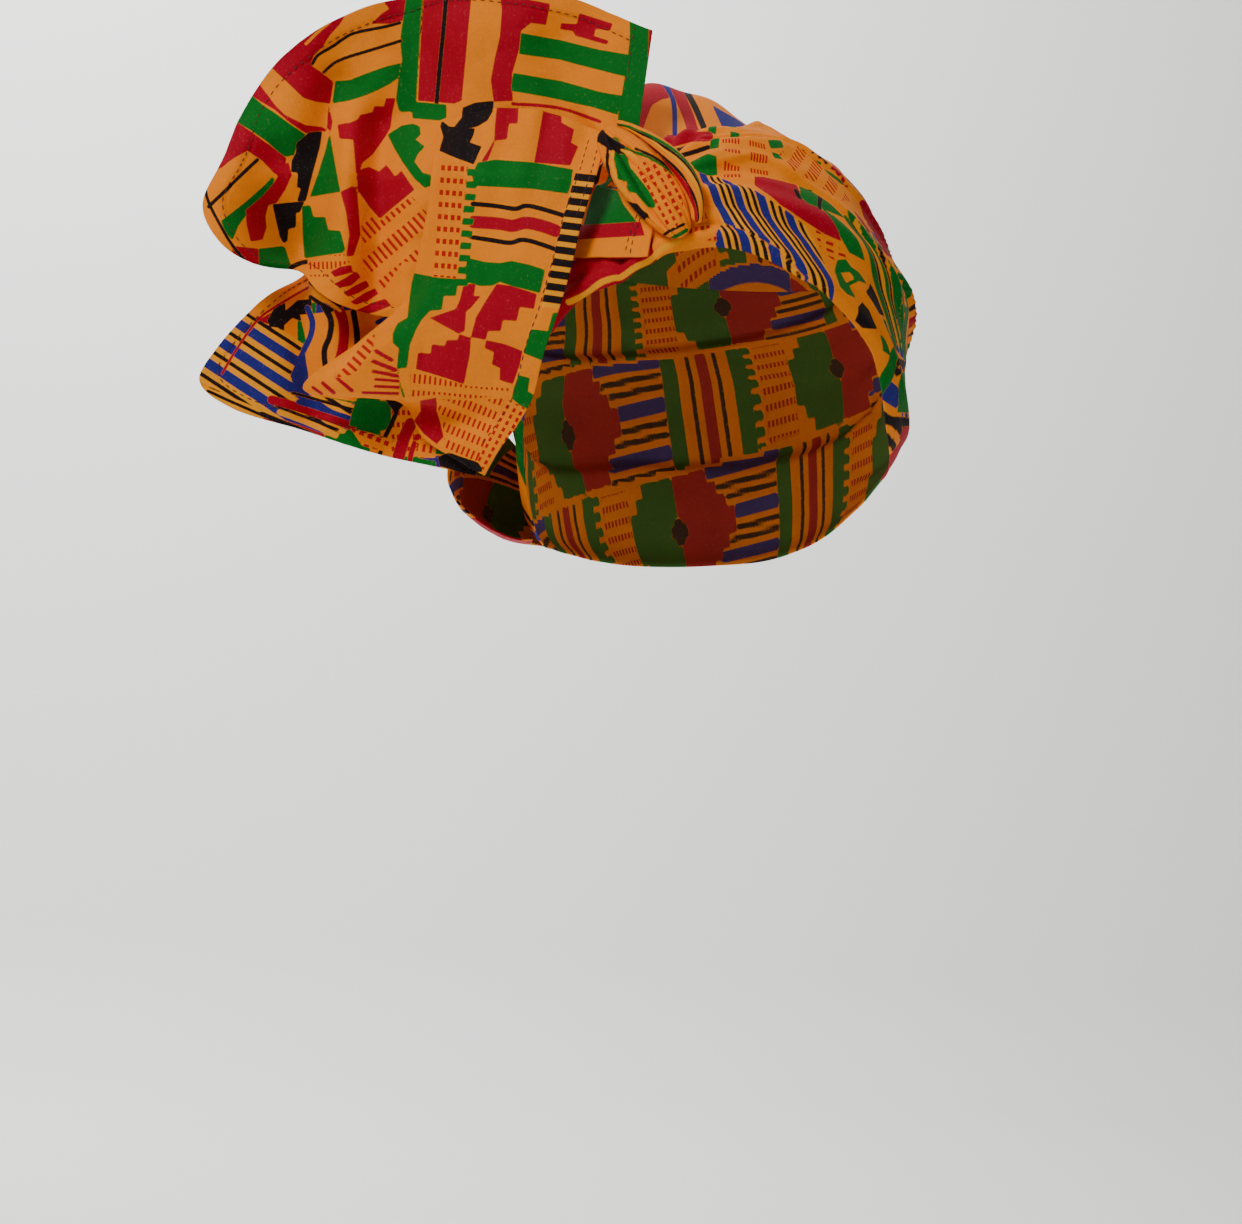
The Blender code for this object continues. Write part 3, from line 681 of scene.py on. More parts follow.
BAND_FOLDS = (
    # across, height, width
    (0.06, 0.75, 0.075), (0.33, 0.80, 0.100), (0.72, 0.75, 0.120), (0.95, 0.50, 0.060),
)
BAND_CREASES = (
    # height, fade, (azimuth, polar of each place)
    (0.0015, 6.0, (-14, 61, -2, 62.5, 6.5, 65.5, 15, 69.5, 24, 75, 36, 83)),
    (0.0020, 7.0, (-16, 45.5, -2.5, 43.5, 14.5, 40, 29.5, 44.5, 47.5, 56, 57, 66.5, 72, 84)),
    (0.0020, 6.0, (-20, 36, 5, 31, 25, 29, 50, 38, 75, 55, 100, 74, 125, 90)),
    (0.0016, 6.0, (36, 70, 48, 80, 60, 91, 74, 99, 95, 104, 120, 108)),
    (0.0036, 9.0, (70, 66, 95, 84, 120, 96, 160, 104, 200, 106, 240, 108, 268, 104)),
    (0.0034, 8.0, (90, 48, 120, 64, 150, 74, 190, 82, 235, 88, 275, 86)),
    (0.0032, 7.0, (85, 30, 120, 44, 160, 54, 200, 62, 240, 68, 285, 66)),
    (0.0026, 6.0, (130, 36, 165, 44, 205, 52, 250, 58, 290, 56)),
)
KNOT_FAN_PLEATS, KNOT_FAN_HEIGHT = 15, 0.0007
KNOT_FAN_FROM, KNOT_FAN_SPREAD = 20, 12
EDGE_ROLL, EDGE_ROLL_SHARE = 0.0016, 0.022
CREASE_SHARPNESS, CREASE_ENDS, CREASE_LEAD = 1.1, 9.0, 60
BAND_PLEATS, BAND_PLEAT_HEIGHT = 7, 0.0006
BAND_PLEAT_SWAY, BAND_PLEAT_SWAYS = 1.4, 3
BAND_PLEAT_LEAST, BAND_PLEAT_FROM, BAND_PLEAT_SPREAD = 0.25, 30, 55
BAND_CRUMPLE_HEIGHT = 0.0007
BAND_CRUMPLES = (
    # round, across, size, share
    (0.025, 0.09, 0.022, 1.0), (0.03, 0.07, 0.06, 1.3),
)
BAND_RUNS = (
    # azimuth at which it starts, columns
    (-31, 260), (75, 230),
)
BAND_STEPS_ACROSS = 96
BAND_LAY = (1.35, 0.5, 34, -0.25, 1.45, -6)
DEGREE_OF_CLOTH = 1.35
BAND_STRIPES = (
    # shift, (azimuth, polar of each corner)
    (0.0, (-11, 46.3, -3, 48.2, 4, 51.5, 11, 55, 20, 58.4, 26, 61, 29, 66, 33, 79.5, 26, 76, 15, 69, 6.5,
        65.5, -1, 62.5)),
    (1.6, (-1, 62.5, 6.5, 65.5, 15, 69, 24, 75, 33, 79.5, 34, 84, 22, 80, -1, 73, -3, 68)),
)
BAND_STRIPE_PITCH, BAND_STRIPE_SLOPE = 7.2, 0.65
BAND_STRIPE_AZIMUTH, BAND_STRIPE_POLAR = -3.3, 58
BAND_STRIPE_INKS = (
    # ink, start, end
    ("amber", -0.5, 1.5), ("blue", 0.0, 0.36), ("black", 0.49, 0.63), ("black", 0.78, 0.92),
)
BAND_FRONT_PRINT = (
    # ink, width, (across, down of each place)
    ("black", 5.0, (634, 143, 648, 135, 664, 131)),
    ("crimson", 10.0, (652, 151, 672, 143, 690, 138, 708, 137)),
    ("black", 5.0, (676, 158, 692, 153, 708, 148)),
    ("crimson", 5.0, (640, 130, 652, 126, 660, 128)),
    ("green", 3.6, (798, 151, 808, 158, 819, 164)),
    ("black", 2.4, (812, 153, 822, 160, 830, 168)),
    ("green", 3.0, (822, 170, 832, 176, 842, 184)),
    ("crimson", 4.0, (832, 168, 839, 175, 846, 186)),
)
BAND_PRINT = (
    # ink, width, (azimuth, polar of each place)
    ("orange", 0, (-40, 5, 60, 5, 66, 40, 60, 75, 55, 95, 20, 86, -40, 84)),
    ("crimson", 0, (-24, 60, -20, 72, -30, 79, -46, 87, -60, 92, -70, 80, -50, 66)),
    ("amber", 1.0, (-48, 82.5, -36.5, 78.2, -30.5, 76.2, -24.5, 73.2, -19, 69.8, -13, 67.5)),
    ("crimson", 0, (10, 47.5, 14, 46.2, 29, 46, 27, 50, 28, 54, 33, 55.5, 37, 60, 38, 64, 32, 62.5, 24,
        59.5, 17, 57, 12, 54, 9.5, 51)),
    ("green", 0, (30, 46.5, 35, 47.5, 38, 51, 41, 54, 44, 56.5, 38, 56, 28, 55, 26, 52.5, 28, 49)),
    ("black", 1.6, (36.5, 50.5, 34, 53, 32.5, 55.5)),
    ("black", 2.0, (25.5, 50.5, 25.5, 53)),
    ("green", 0, (33.5, 55.5, 38, 57, 44, 63, 47, 68, 41, 66.5, 37.5, 63)),
    ("green", 0, (46, 54, 50, 55, 53, 60, 50, 60, 47, 57)),
    ("green", 0, (-10.5, 27.5, -6.5, 27.5, -6.5, 31.5, -10.5, 31.5)),
    ("green", 0, (-8, 35, -4, 34.5, -4, 38.5, -8, 38.5)),
    ("green", 0, (-15, 43.5, -8, 42, -4.5, 42.5, -3.5, 47, -9, 48)),
    ("green", 0, (19, 33.5, 28, 31.5, 27.5, 34.5, 20, 36)), ("green", 0, (20, 37, 26.5, 37, 26, 39, 20.5,
        39.5)),
    ("green", 0, (0, 24, 5, 24, 5, 27, 0, 27)), ("green", 0, (1, 29.5, 6, 30, 5.5, 32, 1, 32)),
    ("crimson", 0, (-42, 24, -24, 24, -14, 28, -19, 33, -27, 36, -40, 34)),
    ("black", 1.8, (-24, 39.5, -17, 36, -11, 33.5)),
    ("black", 1.8, (-38, 38, -30, 36.5, -24, 36)),
    ("green", 0, (34, 72, 36, 69, 38.5, 67, 41, 70, 44, 71, 47.5, 73.5, 43, 73.5, 39, 75, 41, 78, 37, 77.5,
        34.5, 76)),
    ("orange", 0, (36.5, 72, 40, 71.5, 41.5, 73, 38, 74.5)),
    ("black", 0, (41, 80, 44, 78.5, 47, 80, 48, 82.5, 49.5, 84.5, 44, 84.5, 41, 83)),
    ("black", 0, (45, 76, 48, 74.5, 49.5, 73, 52, 75.5, 54, 78.5, 56, 80.5, 51, 80.5, 48, 78)),
    ("green", 0, (53, 81, 56, 81.5, 58, 84.5, 60, 88, 56.5, 87, 54.5, 84)),
    ("green", 0, (50, 85, 54, 86.5, 57, 90, 53, 89)),
    ("green", 2.4, (45, 56.5, 48.5, 63, 51.5, 70, 57, 79, 62, 87)),
    ("black", 0.9, (46.8, 57, 50.5, 63, 53.5, 70, 58.5, 78, 63.5, 86)),
    ("green", 2.2, (50.5, 57, 53.5, 64, 57, 71, 61.5, 79, 66, 87)),
    ("black", 0.8, (53, 58, 56, 65, 59.5, 72, 64, 80)),
    ("green", 2.6, (55.5, 59, 59, 66, 63, 74, 68, 84, 72, 90)),
    ("amber", 1.2, (48.6, 57, 51.8, 63, 55.2, 70, 60, 78.5, 64.8, 86.5)),
    ("crimson", 0, (54, 52, 58, 54, 61, 58, 57, 58.5, 54, 56)),
    ("green", 2.4, (60.5, 60, 64, 68, 68, 78, 73, 88)),
    ("black", 0.9, (63, 61, 66.5, 69, 70.5, 79, 75, 88)),
    ("crimson", 1.8, (57, 86, 61, 90, 66, 93.5)),
    ("green", 0, (62, 92, 82, 91, 84, 97, 66, 98)),
    ("black", 1.2, (60, 90.5, 72, 90, 84, 89.5)),
    ("black", 1.4, (64, 99.5, 74, 99, 86, 98.5)),
    ("crimson", 1.6, (66, 104, 76, 105.5, 88, 106)),
)
BAND_DASHES = (
    # heading, row_pitch, dash_pitch, (azimuth, polar of each corner)
    (0, 3.9, 1.35, (-3, 33, 5, 33, 5.5, 48.5, -1, 48.5)),
    (0, 3.9, 1.35, (9, 29, 17, 29, 17, 44.5, 9, 45)),
    (-12, 3.6, 1.7, (-15, 52, -11.5, 53, -6, 60.5, -2, 67.5, -9, 67.5, -13, 63)),
    (58, 2.1, 6.8, (24, 37, 36, 31, 46, 37, 56, 49, 46, 50.5, 38, 45, 29, 44)),
    (8, 1.9, 4.6, (29, 61.5, 37, 65, 41, 68, 34, 69, 30, 66)),
)


def smooth_lookup(places, table_places, table_values):
    """Values between the rows of a table, on a curve with no corners.

    Between two rows it is the cubic that has both their values and both their slopes.
    """
    slopes = np.gradient(table_values, table_places)
    k = np.clip(np.searchsorted(table_places, places, side="right") - 1, 0, len(table_places) - 2)
    span = table_places[k + 1] - table_places[k]
    t = (places - table_places[k]) / span
    return (
        table_values[k] * (1 + 2 * t) * (1 - t) ** 2
        + table_values[k + 1] * t * t * (3 - 2 * t)
        + span * (slopes[k] * t * (1 - t) ** 2 - slopes[k + 1] * t * t * (1 - t))
    )


def band_edges(azimuth):
    """Polar angles of the band's lower and upper edge in a direction round the head.

    They are looked up between the band's rows, which come back after 360 degrees.
    """
    rows = np.array(BAND_ROWS, float)
    table = np.vstack([(rows - (360, 0, 0))[-2:], rows, (rows + (360, 0, 0))[:3]])
    turned = (np.asarray(azimuth, float) - rows[0, 0]) % 360 + rows[0, 0]
    return (smooth_lookup(turned, table[:, 0], table[:, k]) for k in (1, 2))


def band_lift(azimuth, polar):
    """How far the band stands off the head: over the crown's cloth, with its own folds.

    The folds are humps across its width, which rise beside the knot and flatten towards the back.
    One more hump lifts it round the knot.
    """
    lower, upper = band_edges(azimuth)
    across = (polar - lower) / (upper - lower)
    turned = (np.asarray(azimuth) - KNOT_AZIMUTH) % 360
    from_tie = np.minimum(turned, 360 - turned)
    flattened = (1 - BAND_BACK_SHARE) * ease((from_tie - BAND_FLATTEN_FROM) / BAND_FLATTEN_OVER)
    strength = ease((from_tie - BAND_FOLD_START) / BAND_FOLD_RISE) * (1 - flattened)
    relief = sum(height * hump(across - at, width) for at, height, width in BAND_FOLDS)
    gather = KNOT_GATHER * hump(from_tie, KNOT_GATHER_SPREAD)
    return crown_lift(azimuth, polar) + LAYER + gather + BAND_FOLD_HEIGHT * strength * relief


def crease_step(azimuth, polar):
    """Folds that lap over the cloth below them: high at their lower edge, then falling away.

    Each is its height, times a steep rise over its line, times an exponential fall behind it.
    """
    total = 0
    for height, fade, places in BAND_CREASES:
        line_azimuth, line_polar = np.reshape(places, (-1, 2)).T.astype(float)
        first, last = line_azimuth[0], line_azimuth[-1]
        turned = (azimuth - first + CREASE_LEAD) % 360 + first - CREASE_LEAD
        above = smooth_lookup(np.clip(turned, first, last), line_azimuth, line_polar) - polar
        ends = ease((turned - first) / CREASE_ENDS) * ease((last - turned) / CREASE_ENDS)
        rise = ease(above / CREASE_SHARPNESS + 0.5)
        total = total + height * ends * rise * np.exp(-np.maximum(above, 0) / fade)
    return total


def band_surface(azimuth, across):
    """The band's cloth at a direction and a share of its width, and its polar angles.

    Its lift is the folds, the lapping creases, fine pleats along it, two sizes of crumpling, a fan
    of pleats round the knot, and edges that roll in.
    """
    lower, upper = band_edges(azimuth)
    polar = lower + (upper - lower) * across
    turned = (azimuth - KNOT_AZIMUTH) % 360
    from_tie = np.minimum(turned, 360 - turned)
    sway = BAND_PLEAT_SWAY * np.sin(np.radians(azimuth) * BAND_PLEAT_SWAYS)
    pleats = np.sin(across * 2 * math.pi * BAND_PLEATS + sway)
    near = hump(from_tie - BAND_PLEAT_FROM, BAND_PLEAT_SPREAD)
    pleats = pleats * (BAND_PLEAT_LEAST + (1 - BAND_PLEAT_LEAST) * near)
    creases = sum(
        share * crumple(np.radians(azimuth) * along, across * over, size)
        for along, over, size, share in BAND_CRUMPLES)
    aside = (azimuth - KNOT_AZIMUTH + 180) % 360 - 180
    fan = np.sin(KNOT_FAN_PLEATS * np.arctan2(polar - KNOT_POLAR, aside))
    fan = fan * hump(np.hypot(aside, polar - KNOT_POLAR) - KNOT_FAN_FROM, KNOT_FAN_SPREAD)
    rolled = hump(across, EDGE_ROLL_SHARE) + 0.5 * hump(across - 1, EDGE_ROLL_SHARE)
    lift = band_lift(azimuth, polar) + crease_step(azimuth, polar)
    lift = lift + BAND_PLEAT_HEIGHT * pleats + BAND_CRUMPLE_HEIGHT * creases
    lift = lift + KNOT_FAN_HEIGHT * fan - EDGE_ROLL * rolled
    return on_head(azimuth, polar, lift), polar


def graded(runs, end, closed=False):
    """Places in runs of their own spacing: each run has its start and how many places it holds.

    The last run takes in the end, except on a closed round.
    """
    starts, counts = zip(*runs)
    return np.concatenate([
        np.linspace(start, stop, count, endpoint=stop == end and not closed)
        for start, stop, count in zip(starts, (*starts[1:], end), counts)
    ])


azimuth = graded(BAND_RUNS, BAND_RUNS[0][0] + 360, closed=True)
across, azimuth = np.meshgrid(np.linspace(0, 1, BAND_STEPS_ACROSS), azimuth, indexing="ij")
points, polar = band_surface(azimuth, across)
inks = blank_print(polar.shape)
kente_ground(inks, azimuth, polar, BAND_LAY)
turned = np.where(azimuth > 180, azimuth - 360, azimuth)
print_shapes(inks, turned, polar, DEGREE_OF_CLOTH, BAND_PRINT)
for shift, corners in BAND_STRIPES:
    slanted = turned - BAND_STRIPE_AZIMUTH - shift - BAND_STRIPE_SLOPE * (polar - BAND_STRIPE_POLAR)
    in_stripes = outline(turned, polar, corners) * DEGREE_OF_CLOTH
    print_stripes(inks, in_stripes, slanted / BAND_STRIPE_PITCH, BAND_STRIPE_PITCH * DEGREE_OF_CLOTH,
                  BAND_STRIPE_INKS)
print_front(inks, points, BAND_FRONT_PRINT)
print_dash_fields(inks, turned, polar, DEGREE_OF_CLOTH, BAND_DASHES)
band = cloth_piece("head_band_cloth", points, inks, closed=True)
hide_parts("head_band")


# The nape fold: slack printed cotton of the same scarf, low on the knot's side towards the nape.
# It stands away from the band like a shallow pocket and is held by the tie alone.
NAPE_FOLD_HEIGHT = 0.024
NAPE_FOLD_FROM, NAPE_FOLD_TO = -85, -138
NAPE_FOLD_TOP, NAPE_FOLD_BOTTOM = 96, 122.5
NAPE_FOLD_TAPER_SHARE = 0.7
NAPE_SWELL_START, NAPE_SWELL_ROUNDNESS = 0.06, 0.6
NAPE_CRUMPLE_HEIGHT, NAPE_CRUMPLE_SIZE = 0.0005, 0.02
NAPE_LENGTH, NAPE_WIDTH = 0.08, 0.05
NAPE_STEPS_ALONG, NAPE_STEPS_DOWN = 130, 90
NAPE_LAY = (80, 20, 0, 30, 60, 0)


def nape_surface(along, down):
    """A pocket that swells between its edges and flattens towards the back of the head.

    The swell is half a sine wave down it, begun a small share of the way in, to a power. It eases
    to nothing along it.
    """
    azimuth = NAPE_FOLD_FROM + (NAPE_FOLD_TO - NAPE_FOLD_FROM) * along
    top = NAPE_FOLD_TOP + (NAPE_FOLD_BOTTOM - NAPE_FOLD_TOP) * NAPE_FOLD_TAPER_SHARE * ease(along)
    polar = top + (NAPE_FOLD_BOTTOM - top) * down
    swell = np.sin(np.pi * (NAPE_SWELL_START + (1 - NAPE_SWELL_START) * down)) ** NAPE_SWELL_ROUNDNESS
    lift = band_lift(azimuth, polar) + LAYER + NAPE_FOLD_HEIGHT * (1 - ease(along)) * swell
    creases = crumple(along * NAPE_LENGTH, down * NAPE_WIDTH, NAPE_CRUMPLE_SIZE)
    return on_head(azimuth, polar, lift + NAPE_CRUMPLE_HEIGHT * creases)


down, along = np.meshgrid(
    np.linspace(0, 1, NAPE_STEPS_DOWN), np.linspace(0, 1, NAPE_STEPS_ALONG), indexing="ij")
points = nape_surface(along, down)
inks = blank_print(down.shape)
kente_ground(inks, along, down, NAPE_LAY)
nape = cloth_piece("nape_fold_cloth", points, inks)
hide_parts("nape_fold")


# The knot: two turns of the rolled scarf drawn tight over the brow, with pleats from end to end.
# It is the same printed cotton, and lies on the front of the band.
KNOT_LENGTH, KNOT_WIDTH = 0.049, 0.0175
KNOT_FRONT_HEIGHT, KNOT_BACK_HEIGHT = 0.0095, 0.0025
KNOT_CLEARANCE = 0.0020
KNOT_SLANT = 52.0
KNOT_LEAN, KNOT_SAG = 0.53, 0.0005
KNOT_PLEATS, KNOT_PLEAT_SHARE = 5, 0.07
KNOT_CREASES = (
    # place, bend, depth, width
    (0.62, 0.55, 0.20, 0.09), (1.02, 0.45, 0.22, 0.10), (1.46, 0.35, 0.12, 0.07),
    (2.08, -0.35, 0.32, 0.11), (2.44, -0.30, 0.16, 0.07), (2.72, -0.25, 0.18, 0.08),
)
KNOT_TIP_ROUNDNESS = 0.425
KNOT_FINE_PLEATS, KNOT_FINE_TWIST, KNOT_FINE_SHARE = 17, 3.5, 0.012
KNOT_STEPS_ALONG, KNOT_STEPS_ROUND = 151, 220
LAYER_GAP = 0.0007
KNOT_PRINT = (
    # ink, width, (across, down of each place)
    ("green", 0, (606, 138, 617, 138, 625, 152, 631, 168, 645, 185, 656, 200, 655, 208, 648, 208, 641, 200,
        636, 194, 628, 191, 627, 182, 618, 180, 616, 165, 611, 150)),
    ("black", 0, (598, 126, 612, 138, 628, 149, 624, 155, 612, 152, 598, 142)),
    ("green", 4.0, (600, 160, 604, 174, 612, 192, 624, 210)),
    ("black", 3.0, (608, 150, 608, 166, 613, 183, 621, 197, 632, 208, 645, 218)),
    ("amber", 2.6, (613, 152, 613, 166, 618, 182, 627, 196)),
    ("black", 0, (626, 200, 637, 204, 648, 214, 651, 219, 641, 216, 646, 228, 638, 232, 630, 218)),
    ("amber", 2.4, (622, 150, 636, 157, 650, 164, 662, 172)),
    ("green", 2.6, (626, 149, 642, 155, 658, 163, 674, 176)),
    ("black", 2.6, (636, 149, 654, 158, 670, 170, 684, 186)),
    ("amber", 2.4, (604, 176, 611, 194, 623, 212, 638, 228)),
    ("green", 0, (642, 226, 656, 230, 660, 240, 646, 238)),
    ("black", 2.8, (658, 240, 668, 232, 684, 224)),
    ("green", 3.6, (664, 242, 674, 237, 686, 230)),
)
KNOT_DASHES = (
    # heading, row_pitch, dash_pitch, (across, down of each corner)
    (62, 7.6, 7.8, (640, 163, 652, 161, 668, 172, 680, 186, 684, 212, 676, 228, 664, 224, 657, 206, 647,
        186, 637, 172)),
)


def from_knot(left, up, forward):
    """Points measured from the knot: to a viewer's left, upwards and towards the viewer."""
    x, y, z = on_head(KNOT_AZIMUTH, KNOT_POLAR, 2 * LAYER + LAYER_GAP)
    return np.stack(np.broadcast_arrays(x - left, y - forward, z + up), axis=-1)


def along_knot(length, side, height):
    """Points of the knot: along its length to the upper left, across it, and out from its axis.

    Length and side are turned by the slant. The axis leans back along the length and sags with the
    length's square.
    """
    slant = math.radians(KNOT_SLANT)
    left = length * math.cos(slant) - side * math.sin(slant)
    up = length * math.sin(slant) + side * math.cos(slant)
    axis = KNOT_BACK_HEIGHT + 3 * LAYER + KNOT_CLEARANCE
    axis = axis - KNOT_LEAN * length - KNOT_SAG * (length / (KNOT_LENGTH / 2)) ** 2
    return from_knot(left, up, axis + height)


# Its girth is 1 less the square of the place along it, to a power. A cosine round it makes the
# pleats, each crease cuts a hump out of it, and a finer sine makes small pleats.
along = np.cos(np.linspace(0, np.pi, KNOT_STEPS_ALONG))
turn = np.arange(KNOT_STEPS_ROUND) * 2 * np.pi / KNOT_STEPS_ROUND
along, turn = np.meshgrid(along, turn, indexing="ij")
girth = np.clip(1 - along**2, 0, 1) ** KNOT_TIP_ROUNDNESS
pleated = girth * (1 + KNOT_PLEAT_SHARE * np.cos(KNOT_PLEATS * turn) * (1 - along**2))
for place, bend, depth, width in KNOT_CREASES:
    pleated = pleated * (1 - depth * hump(turn - place - bend * along, width))
pleated = pleated * (1 + KNOT_FINE_SHARE * np.sin(KNOT_FINE_PLEATS * turn + KNOT_FINE_TWIST * along))
front = np.where(np.sin(turn) > 0, KNOT_FRONT_HEIGHT * pleated, KNOT_BACK_HEIGHT * girth)
points = along_knot(
    KNOT_LENGTH / 2 * along, KNOT_WIDTH / 2 * pleated * np.cos(turn), front * np.sin(turn))
inks = blank_print(turn.shape)
print_front(inks, points, KNOT_PRINT, KNOT_DASHES)
knot = cloth_piece("knot_cloth", points, inks, closed=True, pole=True)
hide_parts("knot")


# The tuck: a rolled edge of the scarf's cotton that passes over the knot's upper side. It is thin
# where it starts and ends, and its last turn is pushed in under the knot.
TUCK_THICKNESS = 0.0062
TUCK_FROM, TUCK_TO = 27, 150
TUCK_TIP, TUCK_END_SHARE = 0.03, 0.30
TUCK_FULL_AT, TUCK_FULL_SPREAD = 0.62, 0.34
TUCK_SEAT_SHARE = 0.2
TUCK_TWIST = 2.6
TUCK_CREASES = (
    # turn, drift, depth, width
    (1.3, 0.8, 0.16, 0.16), (2.3, -0.5, 0.12, 0.14),
)
TUCK_STRIPES = (
    # ink, start, end
    ("green", 0.55, 1.05), ("black", 1.05, 1.35), ("black", 2.25, 2.55), ("crimson", 2.55, 3.15),
    ("black", 4.2, 4.5), ("amber", 1.35, 1.75),
)
TUCK_STEPS_ALONG, TUCK_STEPS_ROUND = 130, 72

# It is a tube along an ellipse that clears the knot. Its radius is a hump along it, with round
# ends and two creases cut in.
share = (0.5 - 0.5 * np.cos(np.pi * np.linspace(0, 1, TUCK_STEPS_ALONG)))[:, None]
ring = (np.arange(TUCK_STEPS_ROUND) * 2 * np.pi / TUCK_STEPS_ROUND)[None, :]
bend = np.radians(TUCK_FROM + (TUCK_TO - TUCK_FROM) * share)
fullness = TUCK_END_SHARE + (1 - TUCK_END_SHARE) * hump(share - TUCK_FULL_AT, TUCK_FULL_SPREAD)
radius = TUCK_THICKNESS / 2 * fullness
clear = radius + LAYER_GAP
for from_end in (share, 1 - share):
    radius = radius * np.sqrt(1 - (1 - np.clip(from_end / TUCK_TIP, 0, 1)) ** 2)
radius = radius * (1 - sum(
    depth * hump(ring - place - drift * share, width) for place, drift, depth, width in TUCK_CREASES))
points = along_knot(
    (KNOT_LENGTH / 2 + clear + radius * np.cos(ring)) * np.cos(bend),
    (KNOT_WIDTH / 2 * (1 + KNOT_PLEAT_SHARE) + clear + radius * np.cos(ring)) * np.sin(bend),
    KNOT_FRONT_HEIGHT * TUCK_SEAT_SHARE + radius * np.sin(ring))
inks = blank_print(points.shape[:2])
around = np.mod(ring + TUCK_TWIST * (share - 0.5), 2 * np.pi)
for ink, start, end in TUCK_STRIPES:
    stamp(inks, ink, np.maximum(start - around, around - end) * TUCK_THICKNESS / 2 * MILLIMETRES)
tuck = cloth_piece("knot_tuck_cloth", points, inks, closed=True, pole=True)
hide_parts("knot_tuck")


# The upper tail: the scarf's end, fanned out from the knot, standing up beside it and turning
# down on the far side. Its edges are hemmed and stitched.
UPPER_REACH, UPPER_RISE = 0.158, 0.069
TAIL_BILLOW = 0.016
TAIL_LEAN_LEFT_RATIO, TAIL_LEAN_UP_RATIO = 0.33, 0.42
LEAN_FADE_LEFT, LEAN_FADE_UP = 0.090, 0.050
TAIL_CRUMPLE_HEIGHT, TAIL_CRUMPLE_SIZE = 0.0007, 0.030
TAIL_START = 0.0012
UPPER_CURL_FROM = 0.80
UPPER_GATHERS, UPPER_GATHER_HEIGHT = 8, 0.0011
UPPER_GATHER_SWAY, UPPER_GATHER_FADE = 2, 1.5
UPPER_RUNS_OUT = (
    # share at which it starts, rows
    (0, 12), (0.25, 84), (0.9, 30),
)
UPPER_RUNS_ALONG = (
    # share at which it starts, columns
    (1, 330), (0.035, 34),
)
UPPER_RIM_ROWS = (
    # left, up, curl, root_left, root_up
    (0.00, 0.82, 0.00, 0.020, 0.25), (0.17, 0.97, 0.00, 0.050, 0.24),
    (0.33, 1.01, 0.00, 0.070, 0.22), (0.48, 1.01, 0.00, 0.080, 0.20),
    (0.61, 0.96, 0.05, 0.090, 0.18), (0.735, 0.80, 0.00, 0.100, 0.16),
    (0.85, 0.575, -0.35, 0.115, 0.14), (0.925, 0.285, -0.50, 0.125, 0.12),
    (0.955, 0.01, -0.20, 0.130, 0.08), (0.985, -0.21, 0.35, 0.135, 0.04),
    (0.95, -0.38, 0.75, 0.140, 0.00), (0.88, -0.485, 0.70, 0.140, -0.04),
    (0.775, -0.50, 0.20, 0.145, -0.08), (0.72, -0.61, 0.10, 0.150, -0.12),
    (0.66, -0.68, 0.15, 0.150, -0.16), (0.53, -0.725, 0.00, 0.160, -0.20),
)
UPPER_FOLDS = (
    # from_left, from_up, to_left, to_up, height, width
    (0.80, 0.72, 0.92, 0.00, 0.70, 0.110), (0.30, 0.95, 0.38, 0.86, 0.50, 0.130),
    (0.71, 0.50, 0.765, -0.42, -0.45, 0.050), (0.67, 0.30, 0.65, -0.48, 0.35, 0.045),
    (0.61, 0.30, 0.595, -0.75, -0.60, 0.060), (0.84, 0.02, 0.81, -0.40, -0.80, 0.075),
    (0.565, 0.98, 0.51, 0.40, -0.40, 0.065), (0.22, 0.75, 0.16, 0.35, -0.25, 0.060),
)
